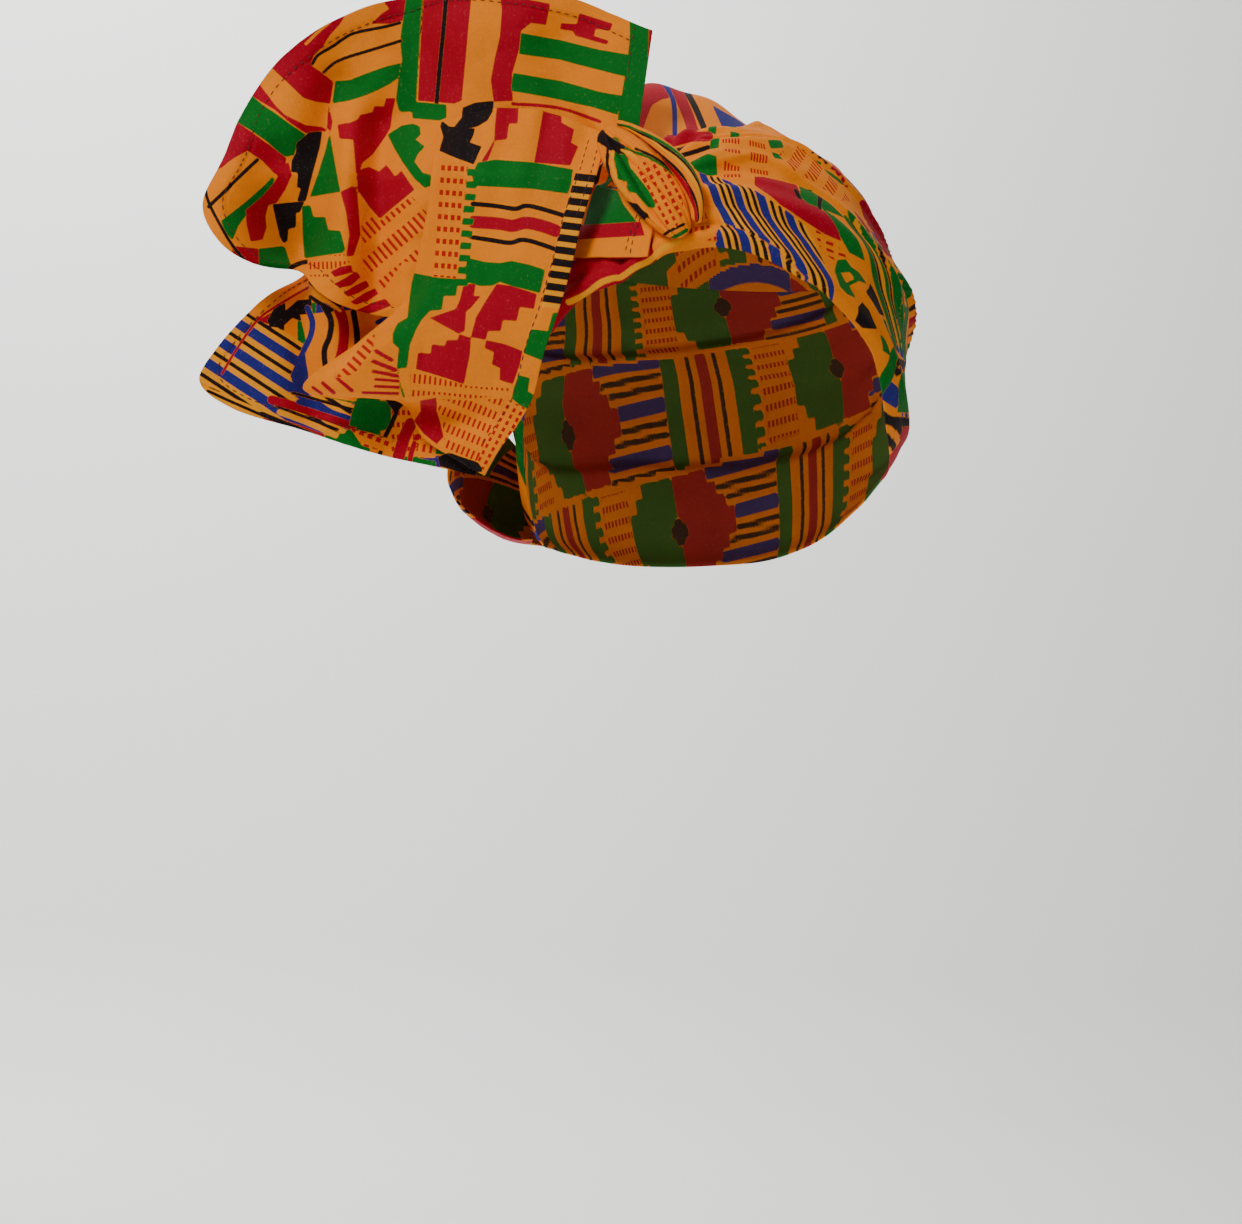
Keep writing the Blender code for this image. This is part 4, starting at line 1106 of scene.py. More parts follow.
UPPER_PRINT = (
    # ink, width, (across, down of each place)
    ("crimson", 0, (500, -6, 550, 4, 546, 25, 531, 23, 521, 31, 519, 50, 512, 74, 513, 101, 494, 102, 491,
        80, 495, 58, 500, 36, 502, 10)),
    ("crimson", 0, (579, 13, 613, 24, 610, 31, 596, 29, 594, 36, 609, 41, 607, 45, 576, 36, 573, 31, 560,
        29, 561, 23, 577, 24)),
    ("green", 0, (521, 33, 560, 40, 600, 50, 629, 55, 626, 77, 590, 68, 560, 60, 519, 54)),
    ("green", 0, (513, 73, 560, 81, 600, 92, 623, 96, 618, 115, 590, 107, 560, 100, 511, 91)),
    ("green", 0, (630, 10, 651, 10, 649, 60, 645, 104, 640, 150, 614, 150, 619, 115, 623, 90, 628, 60, 630,
        40)),
    ("crimson", 0, (650, 6, 668, 6, 664, 60, 656, 130, 643, 130, 648, 60)),
    # Painted shadow: a dark red line on the upper tail just above the front tail's top edge.
    ("crimson", 3.4, (513, 104, 540, 106, 570, 111, 600, 122)),
    ("crimson", 0, (424, -6, 472, -6, 469, 25, 466, 60, 462, 101, 455, 104, 418, 101, 420, 60, 422, 25)),
    ("black", 4.4, (447, -6, 444, 30, 441, 60, 437, 103)),
    ("black", 1.6, (424, -6, 421, 35, 418, 70, 416, 101)),
    ("green", 0, (407, -6, 423, -6, 420, 40, 416, 102, 447, 105, 447, 118, 440, 121, 413, 119, 412, 112,
        400, 112, 396, 100, 398, 80, 402, 62, 400, 40, 403, 20)),
    ("crimson", 0, (390, -4, 407, -6, 403, 20, 399, 24, 371, 24, 380, 15, 389, 9, 384, 3)),
    ("crimson", 0, (346, 14, 340, 24, 330, 35, 322, 47, 313, 56, 312, 66, 322, 73, 333, 82, 330, 104, 315,
        102, 303, 98, 293, 88, 270, 66, 300, 38, 315, 26)),
    ("orange", 3.0, (330, 22, 318, 32, 306, 44)),
    ("black", 3.2, (400, 23, 385, 27, 355, 33, 343, 39, 333, 46, 318, 55, 312, 64)),
    ("black", 3.2, (401, 41, 372, 50, 342, 59, 330, 66, 323, 73)),
    ("green", 0, (401, 63, 385, 67, 365, 74, 350, 80, 335, 81, 332, 104, 350, 101, 362, 97, 376, 91, 390,
        84, 398, 78)),
    ("crimson", 0, (386, 98, 396, 98, 393, 110, 391, 128, 385, 138, 372, 155, 362, 163, 356, 180, 355, 168,
        353, 140, 340, 139, 338, 125, 350, 123, 357, 120, 360, 115, 372, 112, 374, 106, 384, 106)),
    ("crimson", 0, (357, 171, 368, 167, 379, 172, 387, 165, 396, 177, 402, 171, 415, 190, 380, 219, 368,
        206, 357, 190)),
    ("crimson", 0, (258, 82, 248, 94, 275, 110, 290, 123, 305, 133, 314, 135, 328, 131, 322, 127, 305, 125,
        285, 115, 276, 106)),
    ("green", 0, (248, 92, 228, 118, 250, 130, 268, 142, 284, 157, 294, 155, 298, 143, 306, 135, 290, 124,
        275, 113, 264, 106)),
    ("crimson", 0, (228, 116, 210, 150, 204, 176, 222, 168, 232, 160, 247, 151, 262, 161, 273, 173, 281,
        177, 287, 158, 270, 145, 250, 131)),
    ("black", 3.6, (209, 207, 226, 190, 240, 176, 257, 160)),
    ("green", 0, (275, 174, 262, 187, 245, 202, 221, 221, 224, 231, 232, 241, 238, 226, 250, 209, 262, 196,
        273, 184)),
    ("crimson", 0, (245, 210, 262, 196, 274, 182, 288, 160, 292, 175, 285, 190, 276, 203, 268, 205, 265,
        216, 266, 228, 262, 240, 250, 242, 246, 225)),
    ("black", 0, (296, 143, 309, 132, 322, 131, 320, 146, 316, 162, 311, 180, 306, 201, 297, 201, 301, 188,
        297, 187, 298, 173, 291, 172, 292, 160, 296, 152)),
    ("black", 0, (272, 204, 305, 201, 300, 212, 296, 213, 296, 227, 288, 229, 287, 241, 283, 244, 279,
        236)),
    ("green", 0, (258, 249, 284, 246, 292, 270, 258, 274)),
    ("crimson", 0, (231, 246, 258, 249, 259, 274, 244, 274, 234, 262)),
    # Painted shadow: a thin black band along the curled rim's lower edge, standing in for the shade of the
    # fold there.
    ("black", 3.0, (207, 172, 206, 190, 210, 205, 221, 227, 231, 244, 244, 260)),
    ("crimson", 0, (328, 104, 333, 122, 331, 133, 327, 128)),
    ("green", 0, (330, 131, 335, 160, 341, 192, 310, 197, 318, 175, 326, 150)),
    ("green", 0, (302, 206, 311, 205, 314, 217, 326, 217, 329, 230, 341, 231, 345, 249, 343, 253, 305, 259,
        303, 235)),
    ("crimson", 0, (341, 192, 354, 185, 357, 195, 360, 235, 353, 256, 346, 257, 349, 235, 346, 212)),
    ("green", 0, (388, 135, 402, 126, 413, 124, 420, 127, 421, 135, 416, 140, 425, 147, 418, 155, 415, 162,
        423, 173, 431, 175, 432, 186, 425, 188, 414, 178, 404, 164, 395, 149)),
    ("black", 4.5, (290, 268, 300, 264, 309, 262)),
    ("crimson", 0, (331, 272, 340, 267, 351, 265, 352, 272, 335, 277)),
    ("crimson", 0, (334, 284, 346, 277, 356, 271, 360, 277, 351, 285, 340, 288)),
    ("crimson", 0, (343, 293, 355, 285, 366, 280, 369, 286, 358, 293, 348, 297)),
    ("crimson", 0, (350, 302, 364, 293, 375, 288, 379, 294, 366, 302, 355, 305)),
    ("crimson", 0, (356, 310, 372, 303, 386, 299, 392, 306, 376, 312, 362, 315)),
    # Painted shade: a black patch in the dark hollow where the front tail's top fold meets the upper tail.
    # The front tail holds the same patch.
    ("black", 0, (463, 108, 475, 103, 494, 101, 493, 112, 488, 121, 478, 127, 466, 129, 455, 127, 462,
        118)),
)
UPPER_DASHES = (
    # heading, row_pitch, dash_pitch, (across, down of each corner)
    (50, 6.6, 27, (366, 208, 380, 221, 412, 196, 428, 214, 428, 262, 404, 262, 384, 290, 362, 268, 360,
        225)),
    (88, 4.2, 13, (308, 259, 345, 254, 350, 262, 332, 270, 330, 277, 309, 277)),
)


# The scarf's edges are turned in and sewn with dark red thread. An edge is named by the quarter
# turns that bring it to the last row of the grid.
HEM_WIDTH, HEM_RAISE = 0.0082, 0.00050
HEM_SOFTNESS = 0.0008
STITCH_INSET, STITCH_DIP, STITCH_DIP_WIDTH = 0.0072, 0.00030, 0.00096
STITCH_PITCH, STITCH_SHARE = 0.0031, 0.74
STITCH_RISE, STITCH_SINK = 1.5, 0.7
THREAD_RADIUS, THREAD_BLUNTNESS = 0.00019, 0.35
THREAD_STEPS, THREAD_SIDES = 6, 6
THREAD_COLOUR, THREAD_LIGHT_COLOUR = (0.045, 0.004, 0.006, 1), (0.16, 0.020, 0.018, 1)
THREAD_FIBRE_SCALE, THREAD_FIBRE_DEPTH, THREAD_ROUGHNESS = 2600.0, 0.00005, 0.5
UPPER_HEMS = (0, 3)
UPPER_STITCHES = (
    # edge, inset, from_share, to_share
    (0, STITCH_INSET, 0.02, 0.965), (3, STITCH_INSET, 0.03, 0.74),
)


def grid_normals(points):
    """Unit directions square to a grid: the cross product of its slopes along and down."""
    normals = np.cross(np.gradient(points, axis=1), np.gradient(points, axis=0))
    return normals / np.linalg.norm(normals, axis=-1, keepdims=True)


def from_last_row(points):
    """Distance over the cloth from every point of a grid to its last row, along its column."""
    steps = np.linalg.norm(np.diff(points, axis=0), axis=-1)
    return np.vstack([np.cumsum(steps[::-1], axis=0)[::-1], np.zeros((1, points.shape[1]))])


def hemmed(points, edges):
    """Cloth whose edges are turned in: thicker there, and pulled in along the stitches.

    It is raised along its normals by an ease at the hem's inner line, less a hump on the stitches.
    """
    inset = np.full(points.shape[:2], 1.0)
    for edge in edges:
        inset = np.minimum(inset, np.rot90(from_last_row(np.rot90(points, edge)), -edge))
    raised = HEM_RAISE * (1 - ease((inset - HEM_WIDTH) / HEM_SOFTNESS + 1))
    raised = raised - STITCH_DIP * hump(inset - STITCH_INSET, STITCH_DIP_WIDTH)
    return points + grid_normals(points) * raised[..., None]


def inset_line(points, edge, inset, start, end):
    """A line over a grid at one distance inside an edge, and the directions square to it.

    In each column it lies between the two rows that are just within and just beyond the distance.
    """
    normals = np.rot90(grid_normals(points), edge)
    points = np.rot90(points, edge)
    away = from_last_row(points)
    row = np.clip((away > inset).sum(axis=0), 1, len(points) - 1)
    column = np.arange(points.shape[1])
    beyond, within = away[row - 1, column], away[row, column]
    share = np.clip((beyond - inset) / (beyond - within), 0, 1)[:, None]
    line = points[row - 1, column] + (points[row, column] - points[row - 1, column]) * share
    kept = slice(int(start * len(line)), int(end * len(line)))
    return line[kept], normals[row, column][kept]


def stitch_tubes(line, normals):
    """Short threads along a line: each comes up out of the cloth and goes back into it.

    A thread's middle rises as half a sine wave, and its girth is that of a long bead.
    """
    length = np.concatenate([[0], np.cumsum(np.linalg.norm(np.diff(line, axis=0), axis=-1))])
    share = np.linspace(0, 1, THREAD_STEPS)
    count = int(length[-1] / STITCH_PITCH)
    at = (np.arange(count)[:, None] + 0.5 + (share - 0.5) * STITCH_SHARE) * STITCH_PITCH
    middle = np.stack([np.interp(at, length, line[:, k]) for k in range(3)], axis=-1)
    out = np.stack([np.interp(at, length, normals[:, k]) for k in range(3)], axis=-1)
    along = np.gradient(middle, axis=1)
    side = np.cross(out, along)
    side = side / np.linalg.norm(side, axis=-1, keepdims=True)
    rise = THREAD_RADIUS * (STITCH_RISE * np.sin(np.pi * share) - STITCH_SINK)
    middle = middle + out * (CLOTH_THICKNESS / 2 + rise)[:, None]
    turn = np.arange(THREAD_SIDES) * 2 * np.pi / THREAD_SIDES
    ring = side[:, :, None] * np.cos(turn)[:, None] + out[:, :, None] * np.sin(turn)[:, None]
    girth = THREAD_RADIUS * np.clip(1 - (2 * share - 1) ** 2, 0, 1) ** THREAD_BLUNTNESS
    return middle[:, :, None] + ring * girth[:, None, None]


def stitches(name, points, lines):
    """One piece that holds every stitch along a table of lines. Each is closed at both ends."""
    tubes = np.concatenate([stitch_tubes(*inset_line(points, *line)) for line in lines])
    mesh = grid_mesh(name, tubes, closed=True)
    close_poles(mesh)
    mesh.materials.append(sewing_thread)
    threads = add_object(name, mesh)
    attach(threads, "root")
    return threads


sewing_thread = bpy.data.materials.new("sewing_thread")
sewing_thread.use_nodes = True
thread_nodes, thread_links = sewing_thread.node_tree.nodes, sewing_thread.node_tree.links
thread_shader = thread_nodes["Principled BSDF"]
thread_noise = thread_nodes.new("ShaderNodeTexNoise")
thread_noise.inputs["Scale"].default_value = THREAD_FIBRE_SCALE
thread_place = thread_nodes.new("ShaderNodeTexCoord")
thread_links.new(thread_place.outputs["Object"], thread_noise.inputs["Vector"])
thread_tones = thread_nodes.new("ShaderNodeValToRGB")
thread_tones.color_ramp.elements[0].color = THREAD_COLOUR
thread_tones.color_ramp.elements[1].color = THREAD_LIGHT_COLOUR
thread_links.new(thread_noise.outputs["Fac"], thread_tones.inputs["Fac"])
thread_links.new(thread_tones.outputs["Color"], thread_shader.inputs["Base Color"])
thread_bump = thread_nodes.new("ShaderNodeBump")
thread_bump.inputs["Distance"].default_value = THREAD_FIBRE_DEPTH
thread_links.new(thread_noise.outputs["Fac"], thread_bump.inputs["Height"])
thread_links.new(thread_bump.outputs["Normal"], thread_shader.inputs["Normal"])
thread_shader.inputs["Roughness"].default_value = THREAD_ROUGHNESS


def lean(left, up):
    """How far forward the tails lie at a place: from their start they lean back, less and less.

    Each way, left and up, the lean is its ratio times its fade times 1 less a falling exponential.
    """
    left, up = np.maximum(left, 0), np.maximum(up, 0)
    back = TAIL_LEAN_LEFT_RATIO * LEAN_FADE_LEFT * (1 - np.exp(-left / LEAN_FADE_LEFT))
    back = back + TAIL_LEAN_UP_RATIO * LEAN_FADE_UP * (1 - np.exp(-up / LEAN_FADE_UP))
    return TAIL_START - back


def upper_surface(along, out):
    """The tail at a share of its rim and a share of the way out from the knot.

    It runs straight from root to rim. Its lean, the relief of its folds, the curl of its rim, a
    sine wave of gathers that fades outwards and a crumple make its depth.
    """
    rim_left, rim_up, curl, root_left, root_up = through(UPPER_RIM_ROWS, along)
    left = (root_left + (rim_left - root_left) * out) * UPPER_REACH
    up = (root_up + (rim_up - root_up) * out) * UPPER_RISE
    relief = fold_relief(left, up, UPPER_FOLDS, (UPPER_REACH, UPPER_RISE))
    forward = lean(left, up) + TAIL_BILLOW * relief
    forward = forward + curl * TAIL_BILLOW * ease((out - UPPER_CURL_FROM) / (1 - UPPER_CURL_FROM))
    gathers = np.sin(along * 2 * math.pi * UPPER_GATHERS + UPPER_GATHER_SWAY * out)
    gathers = gathers * (1 - out) ** UPPER_GATHER_FADE
    forward = forward + LAYER + UPPER_GATHER_HEIGHT * gathers
    forward = forward + TAIL_CRUMPLE_HEIGHT * crumple(left, up, TAIL_CRUMPLE_SIZE)
    return from_knot(left, up, forward)


out, along = np.meshgrid(graded(UPPER_RUNS_OUT, 1), graded(UPPER_RUNS_ALONG, 0), indexing="ij")
points = hemmed(upper_surface(along, out), UPPER_HEMS)
inks = blank_print(out.shape)
print_front(inks, points, UPPER_PRINT, UPPER_DASHES)
upper = cloth_piece("upper_tail_cloth", points, inks)
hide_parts("upper_tail")
upper_stitches = stitches("upper_tail_stitches", points, UPPER_STITCHES)


# The front tail: the scarf's other end, of the same cotton. It hangs from the knot, with a stitched
# hem on its near side and its far edge rolled back.
FRONT_REACH, FRONT_DROP = 0.113, 0.105
FRONT_TOP_ARCH_SHARE = 0.07
FRONT_ROLL_FROM = 0.82
FRONT_ROWS = (
    # hem_left, hem_up, roll_left, roll_up, hem_forward, ridge_forward, edge_forward
    (0.125, 0.17, 0.65, 0.20, 0.00, 0.15, 0.02), (0.145, 0.02, 0.665, 0.10, 0.30, 0.50, 0.02),
    (0.18, -0.14, 0.67, -0.07, 0.60, 0.60, 0.02), (0.205, -0.295, 0.69, -0.24, 0.70, 0.60, 0.02),
    (0.235, -0.435, 0.73, -0.42, 0.65, 0.60, 0.00), (0.275, -0.585, 0.86, -0.565, 0.50, 0.65, 0.10),
    (0.30, -0.72, 1.03, -0.74, 0.25, 0.35, 0.15), (0.345, -0.82, 0.74, -0.755, 0.05, -0.40, -0.45),
    (0.40, -0.91, 0.645, -0.88, -0.05, -0.40, -0.45), (0.44, -0.995, 0.50, -0.965, -0.15, -0.25, -0.30),
)
FRONT_ARCH_DOWN = 0.15
FRONT_GATHERS, FRONT_GATHER_START, FRONT_GATHER_HEIGHT, FRONT_GATHER_DOWN = 4.5, 1.5, 0.0010, 0.22
DRAG_HEIGHT, DRAG_SLANT, DRAG_PITCH, DRAG_SWAY, DRAG_SWAY_PITCH = 0.0005, 0.25, 0.0065, 2.4, 0.012
DRAG_ACROSS, DRAG_HALF_WIDTH, DRAG_DOWN, DRAG_HALF_LENGTH = 0.45, 0.33, 0.32, 0.24
FRONT_STEPS_DOWN = 240
FRONT_RUNS_ACROSS = (
    # share at which it starts, columns
    (0, 56), (0.22, 104),
)
FRONT_HEMS = (1,)
FRONT_STITCHES = (
    # edge, inset, from_share, to_share
    (1, STITCH_INSET, 0.03, 0.9), (1, 0.3 * STITCH_INSET, 0.03, 0.22),
)
FRONT_REPEATS = (
    # count, move of each corner from one to the next, (ink, corners of the first)
    (11, (-3.1, 12.1, -3.7, 12.1, -3.7, 12.1, -3.1, 12.1), (
        ("black", (575.5, 173.5, 603, 176.5, 601, 183.7, 573.5, 180.7)),
        ("amber", (573.5, 180.7, 601, 183.7, 599, 188.6, 572.5, 185.6)))),
    (10, 4 * (-1.1, 12.2), (
        ("green", (467.5, 169, 478.5, 170, 477.5, 176.5, 466.5, 176)),)),
)
FRONT_PRINT = (
    # ink, width, (across, down of each place)
    ("crimson", 0, (497, 107, 519, 105, 518, 124, 509, 124, 507, 140, 495, 141, 487, 163, 481, 163, 494,
        141, 495, 125)),
    ("crimson", 0, (544, 104, 556, 110, 562, 118, 562, 123, 574, 130, 571, 143, 578, 147, 570, 166, 534,
        163, 538, 140)),
    # Painted shadow: a dark red line along the front tail's rounded top edge.
    ("crimson", 3.4, (556, 108, 575, 115, 602, 128)),
    ("black", 0, (437, 117, 450, 127, 475, 129, 474, 135, 470, 143, 482, 147, 474, 165, 460, 160, 440, 151,
        444, 137)),
    # Painted shade: a black patch in the dark hollow where the front tail's top fold meets the upper tail,
    # the same patch as on the upper tail.
    ("black", 0, (463, 108, 475, 103, 494, 101, 493, 112, 488, 121, 478, 127, 466, 129, 455, 127, 462,
        118)),
    ("green", 0, (478, 163, 495, 160, 535, 163, 573, 170, 571, 185, 568, 194, 530, 189, 495, 187, 475, 186,
        472, 175)),
    ("black", 4.6, (473, 204, 495, 206, 515, 209, 526, 206, 542, 209, 564, 216)),
    ("crimson", 12.5, (474, 222, 500, 224, 513, 226, 526, 223, 542, 226, 556, 231)),
    ("black", 4.6, (470, 237, 490, 240, 510, 243, 522, 240, 537, 243, 560, 251)),
    ("green", 0, (468, 258, 485, 262, 500, 263, 512, 261, 530, 265, 545, 270, 543, 280, 540, 293, 515, 287,
        500, 282, 492, 286, 480, 286, 467, 282, 465, 270)),
    ("green", 0, (413, 273, 440, 278, 466, 279, 463, 284, 458, 285, 456, 296, 444, 296, 442, 310, 430, 311,
        422, 320, 416, 330, 410, 345, 407, 368, 397, 368, 399, 348, 393, 343, 393, 334, 398, 324, 408, 318,
        410, 300)),
    ("crimson", 0, (464, 284, 476, 284, 474, 296, 481, 296, 472, 307, 466, 312, 465, 331, 459, 334, 430,
        318, 456, 309, 460, 300)),
    ("crimson", 0, (497, 284, 512, 286, 537, 294, 534, 309, 520, 307, 517, 321, 503, 320, 501, 331, 488,
        331, 486, 340, 471, 337, 476, 318, 486, 301)),
    ("crimson", 0, (459, 334, 471, 338, 470, 355, 464, 384, 440, 376, 416, 369, 418, 352, 431, 354, 432,
        344, 445, 346, 447, 340, 458, 340)),
    ("crimson", 0, (486, 340, 505, 344, 523, 351, 520, 366, 513, 384, 500, 380, 500, 368, 492, 364, 494,
        352, 485, 348)),
    ("crimson", 0, (420, 400, 437, 397, 437, 410, 441, 424, 444, 437, 437, 444, 424, 434, 414, 421, 421,
        411)),
    ("green", 0, (553, 313, 562, 312, 556, 335, 546, 362, 524, 353, 531, 329, 548, 331)),
    ("green", 0, (519, 375, 530, 378, 528, 391, 536, 396, 528, 412, 512, 398, 514, 389)),
    ("crimson", 7, (606, 174, 597, 205, 587, 240, 578, 272, 568, 304)),
    ("black", 0, (438, 457, 450, 452, 468, 458, 484, 465, 482, 472, 464, 471, 440, 465)),
    ("green", 2.2, (398, 368, 399, 380, 404, 396)),
    ("crimson", 3.8, (336, 377, 352, 390)), ("crimson", 3.8, (323, 383, 334, 392)),
    ("crimson", 3.0, (313, 387, 322, 393)), ("crimson", 4.2, (376, 351, 392, 360)),
    ("crimson", 4.2, (373, 361, 396, 370)), ("crimson", 3.6, (373, 371, 398, 376)),
    ("crimson", 3.0, (375, 379, 399, 381)), ("crimson", 3.0, (375, 386, 399, 387)),
    ("crimson", 2.8, (363, 392, 398, 393)),
)
FRONT_DASHES = (
    # heading, row_pitch, dash_pitch, (across, down of each corner)
    (4, 12.2, 6.2, (441, 161, 468, 166, 465, 200, 459, 245, 456, 279, 432, 277, 436, 230)),
    (95, 5.2, 16, (410, 369, 440, 378, 470, 386, 510, 388, 512, 396, 470, 398, 440, 394, 410, 396)),
    (112, 5.4, 15, (436, 398, 470, 400, 505, 398, 500, 424, 478, 462, 446, 452, 444, 430)),
    (118, 7.2, 7.4, (506, 398, 530, 410, 512, 440, 490, 478, 478, 462, 498, 425)),
    (40, 7.6, 20, (334, 366, 352, 350, 376, 334, 374, 350, 355, 374, 336, 378)),
)


def front_surface(down, across):
    """The tail at a share of the way down and of the way from its hem to its rolled edge.

    It rises from the hem to a ridge and falls to the edge, with gathers under the knot, slanting
    drag folds over its middle and a little crumpling.
    """
    columns = through(FRONT_ROWS, down)
    hem_left, hem_up, roll_left, roll_up, hem_forward, ridge_forward, edge_forward = columns
    left = (hem_left + (roll_left - hem_left) * across) * FRONT_REACH
    up = (hem_up + (roll_up - hem_up) * across) * FRONT_DROP
    arch = FRONT_TOP_ARCH_SHARE * FRONT_DROP
    up = up + arch * np.sin(np.pi * across) * (1 - ease(down / FRONT_ARCH_DOWN))
    billow = hem_forward + (ridge_forward - hem_forward) * ease(across / FRONT_ROLL_FROM)
    rolled = ease((across - FRONT_ROLL_FROM) / (1 - FRONT_ROLL_FROM))
    billow = billow + (edge_forward - ridge_forward) * rolled
    forward = lean(left, up) + 2 * LAYER + TAIL_BILLOW * billow
    gathers = np.sin(across * 2 * math.pi * FRONT_GATHERS + FRONT_GATHER_START)
    gathers = gathers * hump(down, FRONT_GATHER_DOWN)
    drag = np.sin((up + DRAG_SLANT * left) / DRAG_PITCH + DRAG_SWAY * np.sin(left / DRAG_SWAY_PITCH))
    drag = drag * hump(across - DRAG_ACROSS, DRAG_HALF_WIDTH) * hump(down - DRAG_DOWN, DRAG_HALF_LENGTH)
    forward = forward + FRONT_GATHER_HEIGHT * gathers + DRAG_HEIGHT * drag
    forward = forward + TAIL_CRUMPLE_HEIGHT * crumple(left, up, TAIL_CRUMPLE_SIZE)
    return from_knot(left, up, forward)


down, across = np.meshgrid(
    np.linspace(0, 1, FRONT_STEPS_DOWN), graded(FRONT_RUNS_ACROSS, 1), indexing="ij")
points = hemmed(front_surface(down, across), FRONT_HEMS)
inks = blank_print(down.shape)
repeated = [
    (ink, 0, np.add(corners, np.multiply(move, k)))
    for count, move, blocks in FRONT_REPEATS for k in range(count) for ink, corners in blocks
]
print_front(inks, points, [*FRONT_PRINT, *repeated], FRONT_DASHES)
front_tail = cloth_piece("front_tail_cloth", points, inks)
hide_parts("front_tail")
front_stitches = stitches("front_tail_stitches", points, FRONT_STITCHES)


# The lower fold: the scarf's cotton that hangs behind both tails and shows below them. It is held
# by the knot, and its lower edge is hemmed and stitched.
LOWER_REACH, LOWER_DROP = 0.158, 0.105
LOWER_SET_BACK, LOWER_SET_BACK_BY = 0.0075, 0.5
LOWER_CRUMPLE_HEIGHT, LOWER_CRUMPLE_SIZE = 0.0004, 0.022
LOWER_STEPS_ALONG = 260
LOWER_RUNS_OUT = (
    # share at which it starts, rows
    (0, 14), (0.3, 118), (0.9, 30),
)
LOWER_RIM_ROWS = (
    # left, up, root_left, root_up
    (0.76, -0.31, 0.135, 0.00), (0.86, -0.44, 0.145, -0.04), (0.955, -0.615, 0.160, -0.08),
    (0.985, -0.73, 0.180, -0.12), (0.90, -0.815, 0.200, -0.16), (0.75, -0.87, 0.220, -0.20),
    (0.58, -0.935, 0.235, -0.24), (0.42, -0.975, 0.250, -0.28), (0.34, -0.995, 0.260, -0.32),
)
LOWER_FOLDS = (
    # from_left, from_up, to_left, to_up, height, width
    (0.78, -0.36, 0.72, -0.80, -0.45, 0.045), (0.60, -0.55, 0.55, -0.92, -0.30, 0.050),
)
LOWER_HEMS = (0,)
LOWER_STITCHES = (
    # edge, inset, from_share, to_share
    (0, STITCH_INSET, 0.25, 0.995),
)
LOWER_LAY = (STEP_OF_CHART, 0, 0, 0, STEP_OF_CHART, 40)
LOWER_STRIPES = (
    # across, down of each corner
    185, 380, 215, 340, 246, 312, 262, 322, 284, 331, 303, 344, 309, 360, 312, 394, 356, 404, 354, 420,
    340, 440, 262, 412, 205, 384,
)
LOWER_STRIPE_PITCH, LOWER_STRIPE_SLOPE, LOWER_STRIPE_SQUARE = 30.0, 0.66, 0.8
LOWER_STRIPE_ACROSS, LOWER_STRIPE_DOWN = 250, 325
LOWER_STRIPE_INKS = (
    # ink, start, end
    ("amber", -0.5, 1.5), ("blue", 0.0, 0.40), ("black", 0.63, 0.78),
)
LOWER_PRINT = (
    # ink, width, (across, down of each place)
    ("orange", 0, (205, 350, 262, 275, 330, 255, 340, 300, 285, 305, 262, 318, 246, 311)),
    ("black", 0, (267, 321, 274, 308, 285, 303, 285, 311, 297, 301, 312, 299, 313, 316, 305, 323, 292, 318,
        281, 328, 270, 327)),
    ("crimson", 2.4, (309, 288, 285, 301, 262, 316, 250, 330, 235, 352, 222, 374)),
    ("blue", 0, (300, 352, 304, 345, 310, 392, 296, 390, 290, 376)),
    ("orange", 0, (300, 315, 400, 305, 404, 400, 356, 402, 312, 394, 306, 362, 306, 340)),
    ("blue", 6.0, (308, 308, 313, 322, 311, 336, 304, 350)),
    ("black", 5.6, (324, 306, 331, 320, 330, 336, 325, 350, 326, 366, 330, 382)),
    ("crimson", 10.0, (336, 304, 343, 322, 343, 345, 339, 364, 335, 380)),
    ("black", 6.0, (353, 312, 356, 330, 357, 350)),
    ("blue", 5.0, (378, 322, 390, 318, 404, 320)),
    ("black", 4.0, (311, 283, 320, 290, 330, 298, 340, 306)),
    ("amber", 3.0, (311, 289, 320, 297, 331, 304, 340, 311)),
    ("black", 4.0, (311, 297, 320, 303, 332, 310)),
    ("amber", 0, (203, 385, 212, 389, 262, 410, 264, 424, 230, 416, 200, 398)),
    ("black", 3.0, (208, 391, 232, 402, 264, 416)),
    ("amber", 6.0, (280, 412, 310, 424, 340, 437)),
    ("black", 5.0, (262, 414, 300, 430, 338, 446)),
    ("black", 3.0, (276, 406, 306, 418, 338, 430)),
    ("crimson", 9.0, (272, 400, 300, 408, 326, 417, 352, 426)),
    ("blue", 5.0, (298, 402, 322, 409, 352, 419)),
    ("black", 3.0, (292, 393, 322, 401, 354, 410)),
    ("green", 0, (357, 398, 380, 398, 378, 416, 372, 431, 349, 426, 352, 412)),
    ("green", 0, (340, 433, 363, 440, 360, 456, 333, 447)),
    ("black", 4.6, (397, 412, 391, 426, 384, 440, 378, 462)),
    ("crimson", 12.0, (411, 424, 404, 440, 396, 468)),
    ("black", 0, (383, 396, 412, 396, 396, 414)),
    ("crimson", 5.0, (418, 436, 412, 452, 409, 470)),
    ("green", 0, (421, 459, 436, 461, 437, 474, 422, 472)),
    ("black", 0, (438, 457, 450, 452, 468, 458, 484, 465, 482, 478, 464, 474, 440, 466)),
)
LOWER_DASHES = (
    # heading, row_pitch, dash_pitch, (across, down of each corner)
    (22, 11.0, 9.0, (350, 428, 374, 434, 392, 440, 386, 452, 362, 446)),
    (100, 7.0, 13.0, (416, 440, 436, 446, 436, 458, 418, 458)),
)


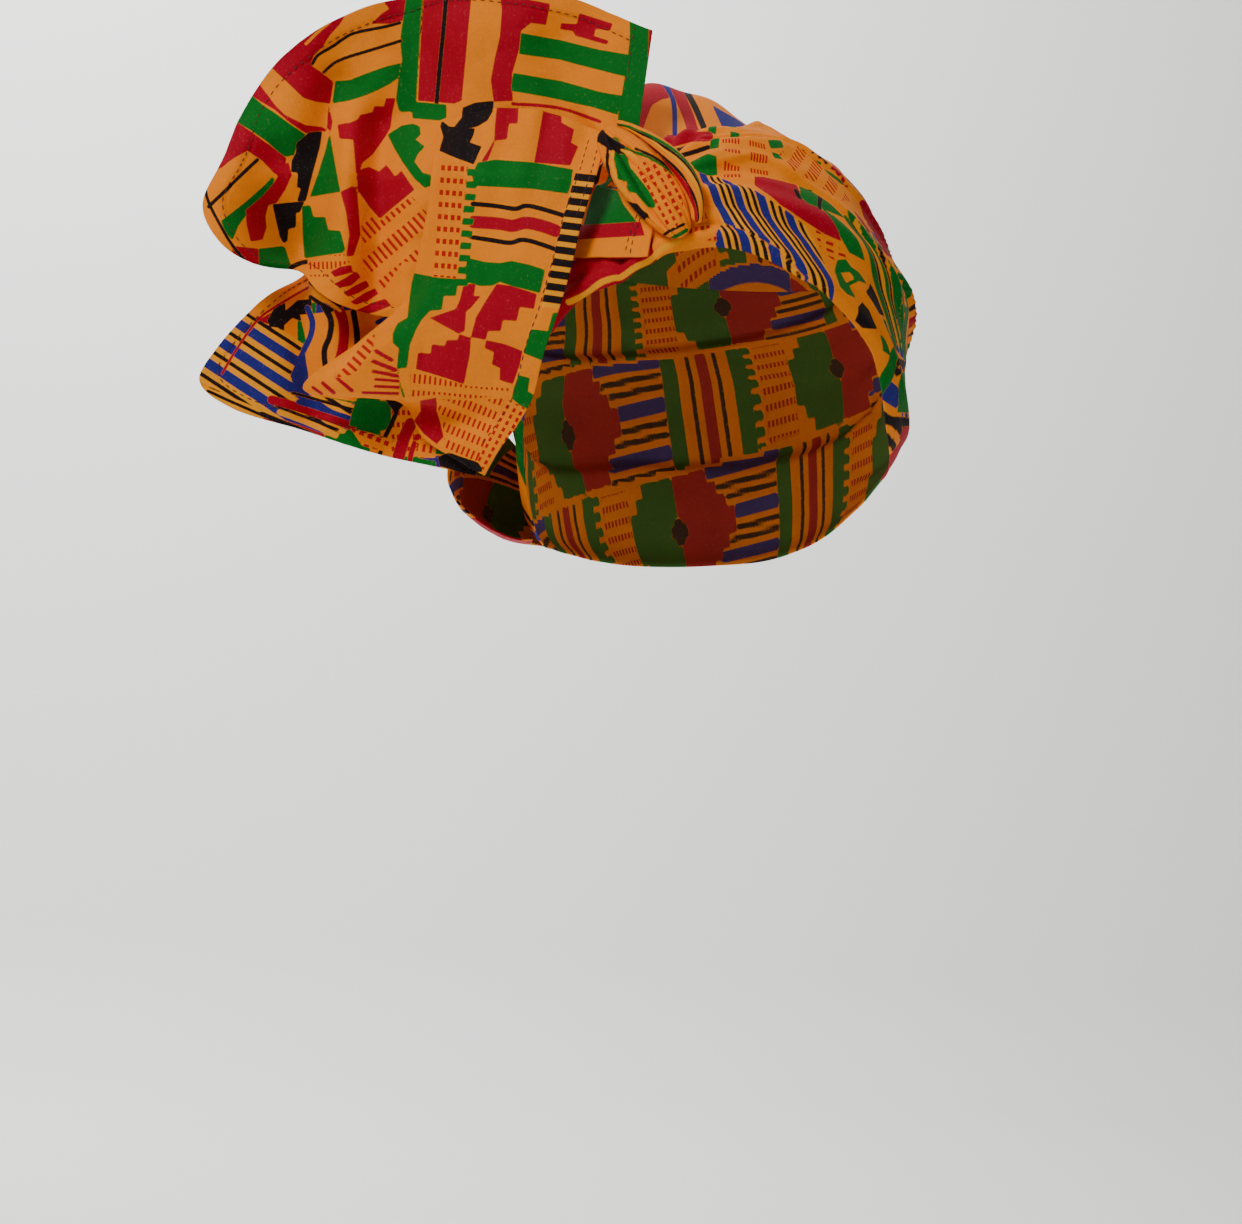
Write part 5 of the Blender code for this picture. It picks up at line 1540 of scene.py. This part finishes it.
def lower_surface(along, out):
    """The fold at a share of its rim and a share of the way out from the knot.

    It runs straight from root to rim, and follows the upper tail's valleys. Its own folds and a
    crumple are added, and it is set back by an ease outwards.
    """
    rim_left, rim_up, root_left, root_up = through(LOWER_RIM_ROWS, along)
    left = (root_left + (rim_left - root_left) * out) * LOWER_REACH
    up = (root_up + (rim_up - root_up) * out) * LOWER_DROP
    valleys = [row for row in UPPER_FOLDS if row[4] < 0]
    relief = fold_relief(left, up, valleys, (UPPER_REACH, UPPER_RISE))
    relief = relief + fold_relief(left, up, LOWER_FOLDS, (LOWER_REACH, LOWER_DROP))
    forward = lean(left, up) + TAIL_BILLOW * relief
    forward = forward - LOWER_SET_BACK * ease(out / LOWER_SET_BACK_BY)
    forward = forward + LOWER_CRUMPLE_HEIGHT * crumple(left, up, LOWER_CRUMPLE_SIZE)
    return from_knot(left, up, forward)


out, along = np.meshgrid(
    graded(LOWER_RUNS_OUT, 1), np.linspace(1, 0, LOWER_STEPS_ALONG), indexing="ij")
points = hemmed(lower_surface(along, out), LOWER_HEMS)
inks = blank_print(out.shape)
chart_across, chart_down = front_chart(points)
kente_ground(inks, chart_across, chart_down, LOWER_LAY)
in_stripes = outline(chart_across, chart_down, LOWER_STRIPES) * STEP_OF_CHART
slanted = chart_down - LOWER_STRIPE_SLOPE * (chart_across - LOWER_STRIPE_ACROSS) - LOWER_STRIPE_DOWN
print_stripes(inks, in_stripes, slanted / LOWER_STRIPE_PITCH,
              LOWER_STRIPE_PITCH * LOWER_STRIPE_SQUARE * STEP_OF_CHART, LOWER_STRIPE_INKS)
print_front(inks, points, LOWER_PRINT, LOWER_DASHES)
lower = cloth_piece("lower_fold_cloth", points, inks)
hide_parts("lower_fold")
lower_stitches = stitches("lower_fold_stitches", points, LOWER_STITCHES)


# The tucked end: a short flat end of the scarf that comes out under the knot and lies on the band.
# Its cotton is hemmed with two lines of stitches.
TUCKED_ROWS = (
    # azimuth, top_polar, bottom_polar
    (-21.5, 63, 72.0), (-30, 58, 72.5), (-38, 54, 72.0), (-47, 52, 72.5), (-55, 52, 74.5),
)
TUCKED_STEPS_ALONG, TUCKED_STEPS_DOWN = 90, 60
TUCKED_STITCHES = (
    # edge, inset, from_share, to_share
    (1, 0.0068, 0.1, 0.98), (1, 0.0088, 0.1, 0.98),
)
TUCKED_PRINT = (
    # ink, width, (across, down of each place)
    ("crimson", 0, (560, 150, 606, 150, 600, 190, 590, 196, 580, 228, 560, 240)),
    ("green", 0, (592, 196, 600, 178, 611, 176, 624, 205, 640, 226, 584, 226)),
    ("crimson", 0, (575, 226, 641, 222, 645, 236, 575, 240)),
    ("crimson", 0, (575, 258, 655, 257, 650, 275, 570, 290)),
)


def tucked_surface(along, down):
    """The end at a share of its width and of the way down, lifted one layer off the band."""
    azimuth, top, bottom = through(TUCKED_ROWS, along)
    polar = top + (bottom - top) * down
    return on_head(azimuth, polar, band_lift(azimuth, polar) + LAYER)


down, along = np.meshgrid(
    np.linspace(0, 1, TUCKED_STEPS_DOWN), np.linspace(0, 1, TUCKED_STEPS_ALONG), indexing="ij")
points = tucked_surface(along, down)
inks = blank_print(down.shape)
print_front(inks, points, TUCKED_PRINT)
tucked = cloth_piece("tucked_end_cloth", points, inks)
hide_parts("tucked_end")
tucked_stitches = stitches("tucked_end_stitches", points, TUCKED_STITCHES)
